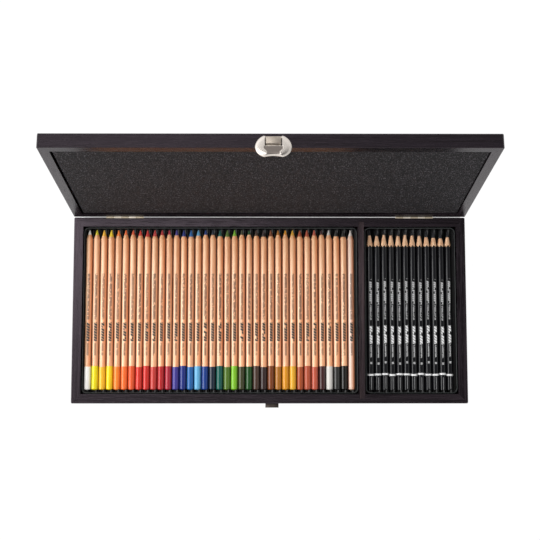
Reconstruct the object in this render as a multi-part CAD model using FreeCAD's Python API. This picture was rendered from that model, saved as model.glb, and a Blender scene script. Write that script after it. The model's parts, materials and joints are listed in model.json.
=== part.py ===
# A flat wooden pencil case that stands open, with two formed trays of pencils in its base.
# All sizes are in millimetres. The origin is the middle of the underside, +X runs along the
# long side to the right, +Y runs from the clasp to the hinges and +Z points up.
# Pieces of the lid are drawn closed and then swung open about the hinge axis.

import FreeCAD, Part
import math
import os

Vector = FreeCAD.Vector
X_AXIS = Vector(1, 0, 0)
Y_AXIS = Vector(0, 1, 0)
Z_AXIS = Vector(0, 0, 1)

# Case: two frames of mitred rails, each with a thin panel let into its outer side. Its width
# and depth follow from the pencils that it holds.
base_height = 25.0
lid_height = 14.4
rail_width = 10.0
panel_thickness = 3.0
panel_lap = 5.0
corner_bevel = 1.2
base_edge_round = 1.0
base_foot_bevel = 0.8
lid_edge_round = 1.6
lid_rim_bevel = 0.4
closing_gap = 0.3
cut_overrun = 1.0

# Flat sides that stand for a full round, for a groove, for an arc of the clasp flap and for
# a quarter round of a tray's corner.
pencil_sides = 12
pin_sides = 12
screw_sides = 8
flap_arc_sides = 5
groove_sides = 5
corner_sides = 4

# Divider between the two bays, let into the front and back rails.
divider_thickness = 6.6
divider_let_in = 5.0

# Foam pad in the lid. Its left edge stops short of the rail.
foam_recess = 0.6
foam_side_gap = 0.3
foam_left_gap = 1.6

# Hinges on the back faces. Their barrels are half sunk into the edges of both back rails.
open_angle = 99.3
hinge_axis_out = 0.3
hinge_inset = 55.5
hinge_length = 40.0
hinge_knuckles = 5
knuckle_radius = 1.5
knuckle_gap = 0.2
hinge_seat_clearance = 0.3
hinge_pin_radius = 0.8
hinge_pin_clearance = 0.05
hinge_pin_head = 0.5
leaf_thickness = 0.7
leaf_height = 11.0
leaf_notch_clearance = 0.3

# Countersunk screws of the hinge leaves.
screws_per_leaf = 3
screw_spacing = 13.0
screw_drop = 6.8
screw_head_radius = 1.7
screw_shank_radius = 1.0
screw_shank_length = 6.5
screw_point_length = 1.2
screw_tip_radius = 0.15

# Clasp: a bridge plate on the lid's front face, a domed flap on its pin, a catch on the base.
clasp_centre_x = 2.5
clasp_plate_width = 14.2
clasp_plate_sheet = 0.6
clasp_plate_bottom = 1.6
clasp_plate_top = 10.2
clasp_foot_height = 2.0
clasp_bridge_out = 3.9
clasp_pin_radius = 0.6
clasp_pin_clearance = 0.05
clasp_pin_out = 2.6
clasp_knuckle_radius = 1.15
clasp_ear_width = 1.2
clasp_ear_gap = 0.2
flap_half_width = 17.1
flap_widest_drop = 0.8
flap_top = 10.3
flap_top_half = 9.2
flap_shoulder_x = 14.4
flap_shoulder_z = 6.2
flap_hip_x = 14.6
flap_hip_drop = 7.0
flap_bottom_drop = 11.0
flap_bottom_half = 8.1
flap_notch_drop = 9.9
flap_rim_out = 3.2
flap_height = 2.8
flap_sheet = 0.7
flap_crown_share = 0.80
flap_waist_share = 0.955
flap_waist_height_share = 0.5
flap_window_gap = 0.8
flap_window_drop = 0.8
flap_pan_depth = 0.5
flap_pan_half_top = 8.8
flap_pan_half_neck = 6.0
flap_pan_shoulder_drop = 3.4
flap_pan_neck_drop = 6.4
flap_rest_angle = 5.5
catch_width = 14.2
catch_out = 4.5
catch_sheet = 1.0
catch_plate_height = 9.0
catch_tongue_drop = 6.2
catch_tip_height = 0.6

# Nails of the clasp plate and of the catch.
nail_head_radius = 0.9
nail_head_height = 0.5
nail_shank_radius = 0.45
nail_shank_length = 5.5
nail_edge = 0.85
catch_nail_half = 4.0
catch_nail_drop = 9.8

# Pencils. Both kinds are as long; the round ones are coloured, the six-sided ones graphite.
pencil_length = 175.0
pencil_end_gap = 4.1
pencil_tip_gap = 2.8
pencil_top_drop = 4.4
colour_count = 37
colour_radius = 3.65
colour_gap = 0.645
colour_left_gap = 2.55
colour_right_gap = 3.83
colour_point_length = 11.1
colour_tip_radius = 0.6
colour_end_round = 0.9
graphite_count = 12
graphite_sides = 6
graphite_across_flats = 6.8
graphite_across_corners = 7.4
graphite_gap = 0.38
graphite_left_gap = 3.36
graphite_right_gap = 4.36
graphite_point_length = 16.6
graphite_tip_radius = 0.3
graphite_end_round = 0.4

# Trays: thin formed sheet with a groove for each pencil.
tray_sheet = 0.8
tray_foot_clearance = 0.3
tray_draft = 0.5
tray_lip_drop = 2.6
tray_lip_width = 0.9
tray_corner_round = 6.0
tray_lip_bevel = 0.3
groove_clearance = 0.3
groove_depth = 3.0

# Places that follow from the sizes above.
colour_pitch = 2 * colour_radius + colour_gap
graphite_pitch = graphite_across_corners + graphite_gap
colour_row_width = colour_count * colour_pitch - colour_gap
graphite_row_width = graphite_count * graphite_pitch - graphite_gap
left_bay_width = colour_left_gap + colour_row_width + colour_right_gap
right_bay_width = graphite_left_gap + graphite_row_width + graphite_right_gap
inner_x = (left_bay_width + divider_thickness + right_bay_width) / 2
inner_y = (pencil_end_gap + pencil_length + pencil_tip_gap) / 2
half_width = inner_x + rail_width
half_depth = inner_y + rail_width
hinge_centre_x = half_width - hinge_inset
lid_bottom = base_height + closing_gap
lid_top = lid_bottom + lid_height
hinge_y = half_depth + hinge_axis_out
hinge_z = base_height + closing_gap / 2
divider_right = inner_x - right_bay_width
divider_left = divider_right - divider_thickness
floor_z = panel_thickness
front_y = -half_depth

COLOUR_NAMES = [
    "white", "lemon", "light_yellow", "yellow", "orange", "orange_red", "vermilion",
    "scarlet", "red", "dark_red", "crimson", "magenta", "blue_violet", "ultramarine",
    "cobalt_blue", "sky_blue", "blue", "indigo", "teal", "green", "bright_green", "olive",
    "dark_green", "dark_brown", "sepia", "brown", "ochre", "golden_yellow", "gold_ochre",
    "burnt_orange", "red_brown", "salmon", "maroon", "light_grey", "dark_grey", "black",
    "blending",
]


def block(x0, x1, y0, y1, z0, z1):
    """A box between two corners."""
    return Part.makeBox(x1 - x0, y1 - y0, z1 - z0, Vector(x0, y0, z0))


def skinned(rings):
    """A solid with flat faces from each ring of corners to the next, closed at both ends."""
    faces = [Part.Face(Part.makePolygon(ring + ring[:1])) for ring in (rings[0], rings[-1])]
    for near, far in zip(rings, rings[1:]):
        for index in range(len(near)):
            following = (index + 1) % len(near)
            corners = [near[index], near[following], far[following], far[index], near[index]]
            faces.append(Part.Face(Part.makePolygon(corners)))
    solid = Part.makeSolid(Part.makeShell(faces))
    if solid.Volume < 0:
        solid.reverse()
    return solid


def many_sided(points, sides, origin, axis, turn_share=0):
    """A round form with flat sides: points are (distance along the axis, radius)."""
    aim = FreeCAD.Rotation(Z_AXIS, axis)
    rings = []
    for along, radius in points:
        ring = []
        for index in range(sides):
            angle = 2 * math.pi * (index + turn_share) / sides
            corner = Vector(radius * math.cos(angle), radius * math.sin(angle), along)
            ring.append(origin + aim.multVec(corner))
        rings.append(ring)
    return skinned(rings)


def cross_rod(x0, x1, radius, y, z):
    """A rod along X, for pins, knuckles and their bores."""
    return many_sided([(0, radius), (x1 - x0, radius)], pin_sides, Vector(x0, y, z), X_AXIS)


def swing_open(shape):
    """The shape of a lid piece, turned from the closed to the open place."""
    opened = shape.copy()
    opened.rotate(Vector(0, hinge_y, hinge_z), X_AXIS, -open_angle)
    return opened


def prism(points, height, z0):
    """An upright prism over a closed outline of (x, y) points."""
    corners = [Vector(x, y, z0) for x, y in points]
    outline = Part.makePolygon(corners + corners[:1])
    return Part.Face(outline).extrude(Vector(0, 0, height))


def frame_ring(z0, z1, show_z, show_round, other_bevel):
    """The four rails as one ring: round on its show edge, bevelled on the other and at corners."""
    ring = block(-half_width, half_width, -half_depth, half_depth, z0, z1)

    def rim(level):
        return [edge for edge in ring.Edges
                if all(abs(vertex.Z - level) < rail_width / 100 for vertex in edge.Vertexes)]

    ring = ring.makeFillet(show_round, rim(show_z))
    ring = ring.makeChamfer(other_bevel, rim(z0 + z1 - show_z))
    cut_x, cut_y = half_width - corner_bevel, half_depth - corner_bevel
    outline = [
        (-cut_x, -half_depth), (cut_x, -half_depth), (half_width, -cut_y), (half_width, cut_y),
        (cut_x, half_depth), (-cut_x, half_depth), (-half_width, cut_y), (-half_width, -cut_y),
    ]
    hole = block(-inner_x, inner_x, -inner_y, inner_y, z0 - cut_overrun, z1 + cut_overrun)
    return ring.common(prism(outline, z1 - z0, z0)).cut(hole)


def panel(z0, z1):
    """A thin panel that laps into the rails all round."""
    reach_x = inner_x + panel_lap
    reach_y = inner_y + panel_lap
    return block(-reach_x, reach_x, -reach_y, reach_y, z0, z1)


def mitred_rails(ring, z0, z1):
    """The ring cut along its mitres into front, back, left and right rails."""
    low, high = z0 - cut_overrun, z1 - z0 + 2 * cut_overrun
    out_x, out_y = half_width + cut_overrun, half_depth + cut_overrun
    ridge_x = half_width - half_depth
    sectors = {
        "front": [(-out_x, -out_y), (out_x, -out_y), (ridge_x, 0), (-ridge_x, 0)],
        "back": [(out_x, out_y), (-out_x, out_y), (-ridge_x, 0), (ridge_x, 0)],
        "left": [(-out_x, out_y), (-out_x, -out_y), (-ridge_x, 0)],
        "right": [(out_x, -out_y), (out_x, out_y), (ridge_x, 0)],
    }
    return {side: ring.common(prism(points, high, low)) for side, points in sectors.items()}


def divider():
    """The thin wall between the bays, with both ends let into the rails."""
    reach = inner_y + divider_let_in
    return block(divider_left, divider_right, -reach, reach, floor_z, base_height)


def foam_pad():
    """The flat foam pad that fills the lid between its rails."""
    return block(-inner_x + foam_left_gap, inner_x - foam_side_gap,
                 -inner_y + foam_side_gap, inner_y - foam_side_gap,
                 lid_bottom + foam_recess, lid_top - panel_thickness)


def knuckle_spans(centre_x, own):
    """The start and end of each knuckle of one leaf: own is 0 for the base, 1 for the lid."""
    pitch = hinge_length / hinge_knuckles
    start = centre_x - hinge_length / 2
    spans = []
    for index in range(own, hinge_knuckles, 2):
        spans.append((start + index * pitch + knuckle_gap / 2,
                      start + (index + 1) * pitch - knuckle_gap / 2))
    return spans


def hinge_leaf(centre_x, own):
    """One leaf: a plate on the back face, and knuckles rolled about the pin."""
    side = -1 if own == 0 else 1
    notch = knuckle_radius + leaf_notch_clearance

    def upright(x0, x1, near, far):
        low, high = sorted((hinge_z + side * near, hinge_z + side * far))
        return block(x0, x1, half_depth, half_depth + leaf_thickness, low, high)

    leaf = upright(centre_x - hinge_length / 2, centre_x + hinge_length / 2, notch, leaf_height)
    for x0, x1 in knuckle_spans(centre_x, own):
        tube = cross_rod(x0, x1, knuckle_radius, hinge_y, hinge_z)
        leaf = leaf.fuse(upright(x0, x1, 0, notch)).fuse(tube)
    reach = hinge_length / 2 + cut_overrun
    bore = cross_rod(centre_x - reach, centre_x + reach, hinge_pin_radius + hinge_pin_clearance,
                     hinge_y, hinge_z)
    return leaf.cut(bore).removeSplitter()


def hinge_seat(centre_x):
    """The hollow along the edges of both back rails that the barrel of one hinge turns in."""
    reach = hinge_length / 2 + hinge_pin_head + hinge_seat_clearance
    return cross_rod(centre_x - reach, centre_x + reach, knuckle_radius + hinge_seat_clearance,
                     hinge_y, hinge_z)


def hinge_pin(centre_x):
    """The pin through one hinge, with a thin head beyond each end knuckle."""
    start = centre_x - hinge_length / 2
    pin = cross_rod(start, start + hinge_length, hinge_pin_radius, hinge_y, hinge_z)
    for x0 in (start - hinge_pin_head, start + hinge_length):
        pin = pin.fuse(cross_rod(x0, x0 + hinge_pin_head, knuckle_radius, hinge_y, hinge_z))
    return pin.removeSplitter()


def screw(x, z):
    """A countersunk screw that goes forward through a leaf into the back rail."""
    points = [
        (0, screw_head_radius), (leaf_thickness, screw_shank_radius),
        (screw_shank_length, screw_shank_radius),
        (screw_shank_length + screw_point_length, screw_tip_radius),
    ]
    return many_sided(points, screw_sides, Vector(x, half_depth + leaf_thickness, z), -Y_AXIS)


def hinge_screws(side):
    """The screws of both leaves on one side of the hinge: -1 is the base, 1 the lid."""
    found = []
    for centre in (-hinge_centre_x, hinge_centre_x):
        for index in range(screws_per_leaf):
            offset = (index - (screws_per_leaf - 1) / 2) * screw_spacing
            found.append(screw(centre + offset, hinge_z + side * screw_drop))
    return found


def nail(x, y, z):
    """A small domed nail driven backward into a front rail, head seated at y."""
    points = [
        (-nail_head_height, nail_head_radius / 2), (0, nail_head_radius),
        (0, nail_shank_radius), (nail_shank_length, nail_shank_radius),
    ]
    return many_sided(points, screw_sides, Vector(x, y, z), Y_AXIS)


def clasp_nails():
    """Two nails through the foot of the clasp plate, at its corners."""
    reach = clasp_plate_width / 2 - nail_edge
    height = base_height + clasp_plate_bottom + nail_edge
    return [nail(clasp_centre_x + side * reach, front_y - clasp_plate_sheet, height)
            for side in (-1, 1)]


def catch_nails():
    """Two nails through the catch's plate, below its tongue."""
    height = base_height - catch_nail_drop
    return [nail(clasp_centre_x + side * catch_nail_half, front_y - catch_sheet, height)
            for side in (-1, 1)]


def pin_height():
    """The height of the flap's hinge line: its knuckle ends at the top of the plate."""
    return base_height + clasp_plate_top - clasp_knuckle_radius


def clasp_rod(x0, x1, radius):
    """A rod on the flap's hinge line, in the closed place."""
    return cross_rod(x0, x1, radius, front_y - clasp_pin_out, pin_height())


def clasp_pin():
    """The pin that carries the flap, through the plate's knuckle and the flap's two ears."""
    reach = clasp_plate_width / 2 + clasp_ear_gap + clasp_ear_width
    return clasp_rod(clasp_centre_x - reach, clasp_centre_x + reach, clasp_pin_radius)


def clasp_plate():
    """A strip bent into a bridge: foot on the rail, raised face, knuckle and back leg."""
    x0 = clasp_centre_x - clasp_plate_width / 2
    x1 = clasp_centre_x + clasp_plate_width / 2
    bottom = base_height + clasp_plate_bottom
    step = bottom + clasp_foot_height
    face_out = clasp_bridge_out - clasp_plate_sheet
    foot = block(x0, x1, front_y - clasp_plate_sheet, front_y, bottom, step)
    riser = block(x0, x1, front_y - clasp_bridge_out, front_y, step - clasp_plate_sheet, step)
    face = block(x0, x1, front_y - clasp_bridge_out, front_y - face_out,
                 step - clasp_plate_sheet, pin_height())
    leg = block(x0, x1, front_y - clasp_pin_out, front_y,
                pin_height() - clasp_plate_sheet / 2, pin_height() + clasp_plate_sheet / 2)
    tube = clasp_rod(x0, x1, clasp_knuckle_radius)
    bore = clasp_rod(x0, x1, clasp_pin_radius)
    plate = foot.fuse([riser, face, leg, tube]).cut(bore)
    for one in clasp_nails():
        plate = plate.cut(one)
    return plate.removeSplitter()


def flap_outline(share, out, wall):
    """The corners of the flap's oval outline on a plane, shrunk by a share and by a wall."""
    middle = (flap_top - flap_bottom_drop) / 2
    scale = share - wall / (flap_top - middle)

    def place(x, z):
        return Vector(clasp_centre_x + x * scale, front_y - out,
                      base_height + middle + (z - middle) * scale)

    arcs = [
        ((flap_top_half, flap_top), (flap_shoulder_x, flap_shoulder_z),
         (flap_half_width, -flap_widest_drop)),
        ((flap_half_width, -flap_widest_drop), (flap_hip_x, -flap_hip_drop),
         (flap_bottom_half, -flap_bottom_drop)),
        ((flap_bottom_half, -flap_bottom_drop), (0, -flap_notch_drop),
         (-flap_bottom_half, -flap_bottom_drop)),
        ((-flap_bottom_half, -flap_bottom_drop), (-flap_hip_x, -flap_hip_drop),
         (-flap_half_width, -flap_widest_drop)),
        ((-flap_half_width, -flap_widest_drop), (-flap_shoulder_x, flap_shoulder_z),
         (-flap_top_half, flap_top)),
    ]
    ring = []
    for arc in arcs:
        curve = Part.Arc(*[place(x, z) for x, z in arc]).toShape()
        ring += curve.discretize(Number=flap_arc_sides + 1)[:-1]
    return ring + [place(-flap_top_half, flap_top)]


def flap_dome(wall, start_out, height):
    """A domed solid over the flap's outline: rim, waist and crown."""
    waist_out = start_out + height * flap_waist_height_share
    return skinned([
        flap_outline(1, start_out, wall),
        flap_outline(flap_waist_share, waist_out, wall),
        flap_outline(flap_crown_share, start_out + height, wall),
    ])


def pan_outline(out, inset):
    """The outline of the sunk pan below the plate: wide shoulders and a narrow neck."""
    top = -flap_window_drop - inset
    shoulder = -flap_pan_shoulder_drop
    neck = -flap_pan_neck_drop - inset
    half_top = flap_pan_half_top - inset
    half_neck = flap_pan_half_neck - inset
    foot = -flap_notch_drop + flap_sheet + inset
    points = [
        (-half_top, top), (half_top, top), (half_top, shoulder), (half_neck, neck),
        (half_neck, foot), (-half_neck, foot), (-half_neck, neck), (-half_top, shoulder),
    ]
    corners = [Vector(clasp_centre_x + x, front_y - out, base_height + z) for x, z in points]
    return Part.makePolygon(corners + corners[:1])


def clasp_flap():
    """The domed flap: a window for the plate above, a sunk pan below and two ears."""
    crown_out = flap_rim_out + flap_height
    waist_out = flap_rim_out + flap_height * flap_waist_height_share
    shell = flap_dome(0, flap_rim_out, flap_height)
    hollow = flap_dome(flap_sheet, flap_rim_out - cut_overrun, flap_height + cut_overrun - flap_sheet)
    shell = shell.cut(hollow)
    window_half = clasp_plate_width / 2 + flap_window_gap
    window = block(clasp_centre_x - window_half, clasp_centre_x + window_half,
                   front_y - crown_out - cut_overrun, front_y,
                   base_height - flap_window_drop,
                   base_height + flap_top + cut_overrun)
    pan_out = crown_out - flap_pan_depth
    pan_cut = Part.Face(pan_outline(pan_out, 0)).extrude(Vector(0, -cut_overrun, 0))
    pan_back = Part.Face(pan_outline(pan_out - flap_sheet, 0)).extrude(Vector(0, -flap_sheet, 0))
    flap = shell.fuse(pan_back).cut(pan_cut).cut(window)
    for side in (-1, 1):
        near = clasp_centre_x + side * (clasp_plate_width / 2 + clasp_ear_gap)
        far = near + side * clasp_ear_width
        start = min(near, far)
        boss = clasp_rod(start, start + clasp_ear_width, clasp_knuckle_radius)
        arm = block(start, start + clasp_ear_width, front_y - waist_out, front_y - clasp_pin_out,
                    pin_height() - clasp_knuckle_radius, pin_height() + clasp_knuckle_radius / 2)
        flap = flap.fuse(boss).fuse(arm)
    reach = clasp_plate_width / 2 + clasp_ear_gap + clasp_ear_width + cut_overrun
    bore = clasp_rod(clasp_centre_x - reach, clasp_centre_x + reach,
                     clasp_pin_radius + clasp_pin_clearance)
    flap = flap.cut(bore).removeSplitter()
    flap.rotate(Vector(clasp_centre_x, front_y - clasp_pin_out, pin_height()), X_AXIS,
                -flap_rest_angle)
    return flap


def clasp_catch():
    """The catch: a plate on the base's front face with a tongue and a turned-down tip."""
    x0 = clasp_centre_x - catch_width / 2
    x1 = clasp_centre_x + catch_width / 2
    tongue_top = base_height - catch_tongue_drop
    tongue_bottom = tongue_top - catch_sheet
    plate = block(x0, x1, front_y - catch_sheet, front_y,
                  tongue_bottom - catch_plate_height + catch_sheet, tongue_top)
    tongue = block(x0, x1, front_y - catch_out, front_y, tongue_bottom, tongue_top)
    tip = block(x0, x1, front_y - catch_out, front_y - catch_out + catch_sheet,
                tongue_top, tongue_top + catch_tip_height)
    catch = plate.fuse([tongue, tip]).removeSplitter()
    for one in catch_nails():
        catch = catch.cut(one)
    return catch


def pencil_axis_z():
    """The height of the round pencils' axes, from how far their tops lie below the rim."""
    return base_height - pencil_top_drop - colour_radius


def pencil_end_y():
    """Where every pencil's blunt end lies, from the front rail."""
    return -inner_y + pencil_end_gap


def pencil_profile(radius, point_length, tip_radius, end_round):
    """Half the outline of a pencil, from its blunt end to its tip."""
    return [
        (0, radius - end_round), (end_round, radius), (pencil_length - point_length, radius),
        (pencil_length, tip_radius),
    ]


def row_axes(first, count, pitch):
    """The x places of a row of pencils, from its first."""
    return [first + index * pitch for index in range(count)]


def colour_pencil(x):
    """A round pencil that lies along +Y with its point to the back."""
    points = pencil_profile(colour_radius, colour_point_length, colour_tip_radius,
                            colour_end_round)
    return many_sided(points, pencil_sides, Vector(x, pencil_end_y(), pencil_axis_z()), Y_AXIS)


def graphite_pencil(x):
    """A six-sided pencil, flat side up, with blunted corners. Its cone scallops the sides."""
    flat_to_corner = 1 / math.cos(math.pi / pencil_sides)
    points = pencil_profile(graphite_across_corners / 2 * flat_to_corner, graphite_point_length,
                            graphite_tip_radius, graphite_end_round)
    origin = Vector(x, pencil_end_y(), pencil_axis_z())
    core = many_sided(points, pencil_sides, origin, Y_AXIS, 0.5)
    corner = graphite_across_flats / math.sqrt(3)
    sides = many_sided([(0, corner), (pencil_length, corner)], graphite_sides, origin, Y_AXIS)
    return core.common(sides)


def rounded_rectangle(x0, x1, y0, y1, z, radius):
    """The corners of a level rectangle whose own corners are rounded in short flat steps."""
    centres = [(x1 - radius, y1 - radius), (x0 + radius, y1 - radius),
               (x0 + radius, y0 + radius), (x1 - radius, y0 + radius)]
    ring = []
    for quarter, (x, y) in enumerate(centres):
        for step in range(corner_sides + 1):
            angle = math.pi / 2 * (quarter + step / corner_sides)
            ring.append(Vector(x + radius * math.cos(angle), y + radius * math.sin(angle), z))
    return ring


def drafted_block(bounds, levels, radius):
    """A block with round corners: levels are (height, inset of its outline there)."""
    x0, x1, y0, y1 = bounds
    return skinned([rounded_rectangle(x0 + inset, x1 - inset, y0 + inset, y1 - inset, z, radius)
                    for z, inset in levels])


def channel(x, radius, level, pitch):
    """The (x, z) corners of one channel, whose flats all touch a circle about a pencil's axis."""
    centre_z = pencil_axis_z()
    half_open = math.acos((centre_z - level) / radius)
    step = 2 * half_open / groove_sides
    reach = radius / math.cos(step / 2)
    corners = [(x - radius * math.sin(half_open), level)]
    for index in range(groove_sides):
        angle = -half_open + (index + 0.5) * step
        corners.append((x + reach * math.sin(angle), centre_z - reach * math.cos(angle)))
    corners.append((x + radius * math.sin(half_open), level))
    return [corner for corner in corners if abs(corner[0] - x) < pitch / 2]


def groove_band(axes, radius, level, close, x0, x1, y0, y1):
    """A band with one channel per pencil: from the channels up or down to a close level."""
    corners = [(x0, level)]
    for x in axes:
        corners += channel(x, radius, level, axes[1] - axes[0])
    corners += [(x1, level), (x1, close), (x0, close)]
    return skinned([[Vector(x, y, z) for x, z in corners] for y in (y0, y1)])


def tray(bay_left, bay_right, axes):
    """A formed tray: drafted skirt, bevelled lip, a pocket and a scalloped sheet of grooves."""
    bounds = (bay_left, bay_right, -inner_y, inner_y)
    lip_z = base_height - tray_lip_drop
    foot = tray_foot_clearance
    top = foot + tray_draft
    wall = top + tray_lip_width
    groove_radius = colour_radius + groove_clearance
    ridge_z = pencil_axis_z() - groove_radius + groove_depth
    body = drafted_block(bounds, [(floor_z, foot), (lip_z - tray_lip_bevel, top),
                                  (lip_z, top + tray_lip_bevel)], tray_corner_round)
    pocket = drafted_block(bounds, [(ridge_z, wall), (lip_z + cut_overrun, wall)],
                           tray_corner_round - tray_lip_width)
    channels = groove_band(axes, groove_radius, ridge_z, ridge_z + cut_overrun,
                           axes[0] - groove_radius, axes[-1] + groove_radius,
                           -inner_y + wall, inner_y - wall)
    under = drafted_block(bounds, [(floor_z - cut_overrun, foot + tray_sheet),
                                   (ridge_z, top + tray_sheet)], tray_corner_round - tray_sheet)
    roof = groove_band(axes, groove_radius + tray_sheet, ridge_z - tray_sheet,
                       floor_z - 2 * cut_overrun, bay_left, bay_right, -inner_y, inner_y)
    return body.cut(pocket).cut(channels).cut(under.common(roof))


def main():
    parts = {}
    centres = (-hinge_centre_x, hinge_centre_x)
    hinge_seats = [hinge_seat(centre) for centre in centres]

    base_ring = frame_ring(0, base_height, base_height, base_edge_round, base_foot_bevel)
    parts["base_bottom_panel"] = panel(0, panel_thickness)
    parts["divider"] = divider()
    base_fasteners = hinge_screws(-1) + catch_nails()
    base_cuts = [parts["base_bottom_panel"], parts["divider"]] + base_fasteners + hinge_seats
    for side, rail in mitred_rails(base_ring.cut(base_cuts), 0, base_height).items():
        parts["base_" + side + "_rail"] = rail
    parts["base_fasteners"] = Part.makeCompound(base_fasteners)
    parts["clasp_catch"] = clasp_catch()

    lid_ring = frame_ring(lid_bottom, lid_top, lid_top, lid_edge_round, lid_rim_bevel)
    lid_panel = panel(lid_top - panel_thickness, lid_top)
    lid_screws = hinge_screws(1)
    lid_nails = clasp_nails()
    lid_ring = lid_ring.cut([lid_panel] + lid_screws + lid_nails + hinge_seats)
    lid = {"lid_top_panel": lid_panel, "lid_foam_pad": foam_pad(), "clasp_plate": clasp_plate()}
    for side, rail in mitred_rails(lid_ring, lid_bottom, lid_top).items():
        lid["lid_" + side + "_rail"] = rail
    lid["lid_fasteners"] = Part.makeCompound(lid_screws + lid_nails + [clasp_pin()])
    lid["clasp_flap"] = clasp_flap()

    base_leaves = [hinge_leaf(centre, 0).cut(base_fasteners) for centre in centres]
    lid_leaves = [hinge_leaf(centre, 1).cut(lid_screws) for centre in centres]
    parts["hinge_base_leaves"] = Part.makeCompound(base_leaves)
    lid["hinge_lid_leaves"] = Part.makeCompound(lid_leaves)
    parts["hinge_pins"] = Part.makeCompound([hinge_pin(centre) for centre in centres])
    for name, shape in lid.items():
        parts[name] = swing_open(shape)

    colour_axes = row_axes(-inner_x + colour_left_gap + colour_radius, colour_count, colour_pitch)
    graphite_axes = row_axes(divider_right + graphite_left_gap + graphite_across_corners / 2,
                             graphite_count, graphite_pitch)
    parts["left_tray"] = tray(-inner_x, divider_left, colour_axes)
    parts["right_tray"] = tray(divider_right, inner_x, graphite_axes)
    for index, (x, colour) in enumerate(zip(colour_axes, COLOUR_NAMES)):
        parts["pencil_%02d_%s" % (index + 1, colour)] = colour_pencil(x)
    parts["graphite_pencils"] = Part.makeCompound([graphite_pencil(x) for x in graphite_axes])

    os.makedirs("parts", exist_ok=True)
    for name, shape in parts.items():
        shape.exportStep("parts/" + name + ".step")
        solids = len(shape.Solids)
        print(name, "solids", solids, "volume", round(shape.Volume, 1), "valid", shape.isValid())


main()
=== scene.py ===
# %% [markdown]
# # A wooden pencil case, dressed for the camera
# The case is a flat box of dark stained wood. Its padded lid stands open behind it, and two
# black trays in its base hold a row of round colour pencils and a row of six-sided graphite
# ones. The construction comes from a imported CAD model, which is loaded first and stays where
# it is. This lesson gives every part its finish, and makes again, smooth and fine, the pieces
# that a mechanical model keeps plain.

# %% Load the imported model
import json
import math
from collections import namedtuple

import bmesh
import bpy
import numpy as np
from mathutils import Matrix, Vector


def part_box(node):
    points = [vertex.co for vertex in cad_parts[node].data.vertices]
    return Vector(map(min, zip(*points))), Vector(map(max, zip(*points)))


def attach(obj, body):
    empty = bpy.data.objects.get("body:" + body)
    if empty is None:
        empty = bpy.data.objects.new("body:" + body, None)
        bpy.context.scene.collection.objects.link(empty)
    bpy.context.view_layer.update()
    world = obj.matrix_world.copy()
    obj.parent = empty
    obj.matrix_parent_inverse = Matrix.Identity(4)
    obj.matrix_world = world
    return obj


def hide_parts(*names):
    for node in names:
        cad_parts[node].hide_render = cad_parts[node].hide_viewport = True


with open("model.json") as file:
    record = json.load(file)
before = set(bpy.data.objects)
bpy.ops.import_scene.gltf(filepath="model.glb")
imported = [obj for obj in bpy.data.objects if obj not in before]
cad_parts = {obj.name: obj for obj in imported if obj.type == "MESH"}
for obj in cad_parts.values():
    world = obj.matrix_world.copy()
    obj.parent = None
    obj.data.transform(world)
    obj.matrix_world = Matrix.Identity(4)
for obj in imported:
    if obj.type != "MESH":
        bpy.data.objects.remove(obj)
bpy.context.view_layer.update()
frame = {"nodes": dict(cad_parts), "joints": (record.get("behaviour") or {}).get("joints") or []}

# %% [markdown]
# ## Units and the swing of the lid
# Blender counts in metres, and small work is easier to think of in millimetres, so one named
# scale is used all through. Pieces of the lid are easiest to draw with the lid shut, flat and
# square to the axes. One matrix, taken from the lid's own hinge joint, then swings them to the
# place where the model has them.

MM = 0.001
scene = bpy.context.scene
scene.view_settings.view_transform = "Standard"

joints = {joint["name"]: joint for joint in frame["joints"]}
hinge_line = Vector(joints["lid_hinge"]["pos_m"])
open_angle = math.radians(abs(joints["lid_hinge"]["range_deg"][0]))
swing = (Matrix.Translation(hinge_line) @ Matrix.Rotation(-open_angle, 4, "X")
         @ Matrix.Translation(-hinge_line))
print("lid stands open by", round(math.degrees(open_angle), 1), "degrees")

# %% [markdown]
# ## Camera and stage first
# The picture is taken from high above and a little in front, so that the pencils are seen
# from the top and the open lid from its thin side. The camera's place and lens were found by
# matching the corners of the case. A long lens keeps the sides nearly parallel. The floor is
# a very large plane, which fills the view from every side.

# %% Camera
CAMERA_PLACE = (-0.00513, -0.07815, 1.17667)
CAMERA_TURN_DEGREES = (6.0137, -0.2727, -0.0036)
CAMERA_LENS = 70.97
CAMERA_SENSOR = 36
CAMERA_REACH = 200


def placed(name, data):
    """A new object of the scene that holds the data."""
    made = bpy.data.objects.new(name, data)
    scene.collection.objects.link(made)
    return made


camera = placed("camera", bpy.data.cameras.new("camera"))
camera.location = CAMERA_PLACE
camera.rotation_euler = [math.radians(degrees) for degrees in CAMERA_TURN_DEGREES]
camera.data.sensor_width = CAMERA_SENSOR
camera.data.lens = CAMERA_LENS
camera.data.clip_end = CAMERA_REACH
scene.camera = camera
print("camera", [round(value, 3) for value in camera.location])

# %% [markdown]
# ## Node trees written as sums
# A finish is a small formula: so much of one colour where the grain runs, so much of another
# in the pores. Node by node such a formula takes pages. The class Wire wraps one socket, so
# that Python's own operators add the Math nodes. The class Board adds any other node: its
# settings first, then the values or wires of its sockets. Both serve for shapes too, because
# Geometry Nodes share the Math node with the shader.

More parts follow.
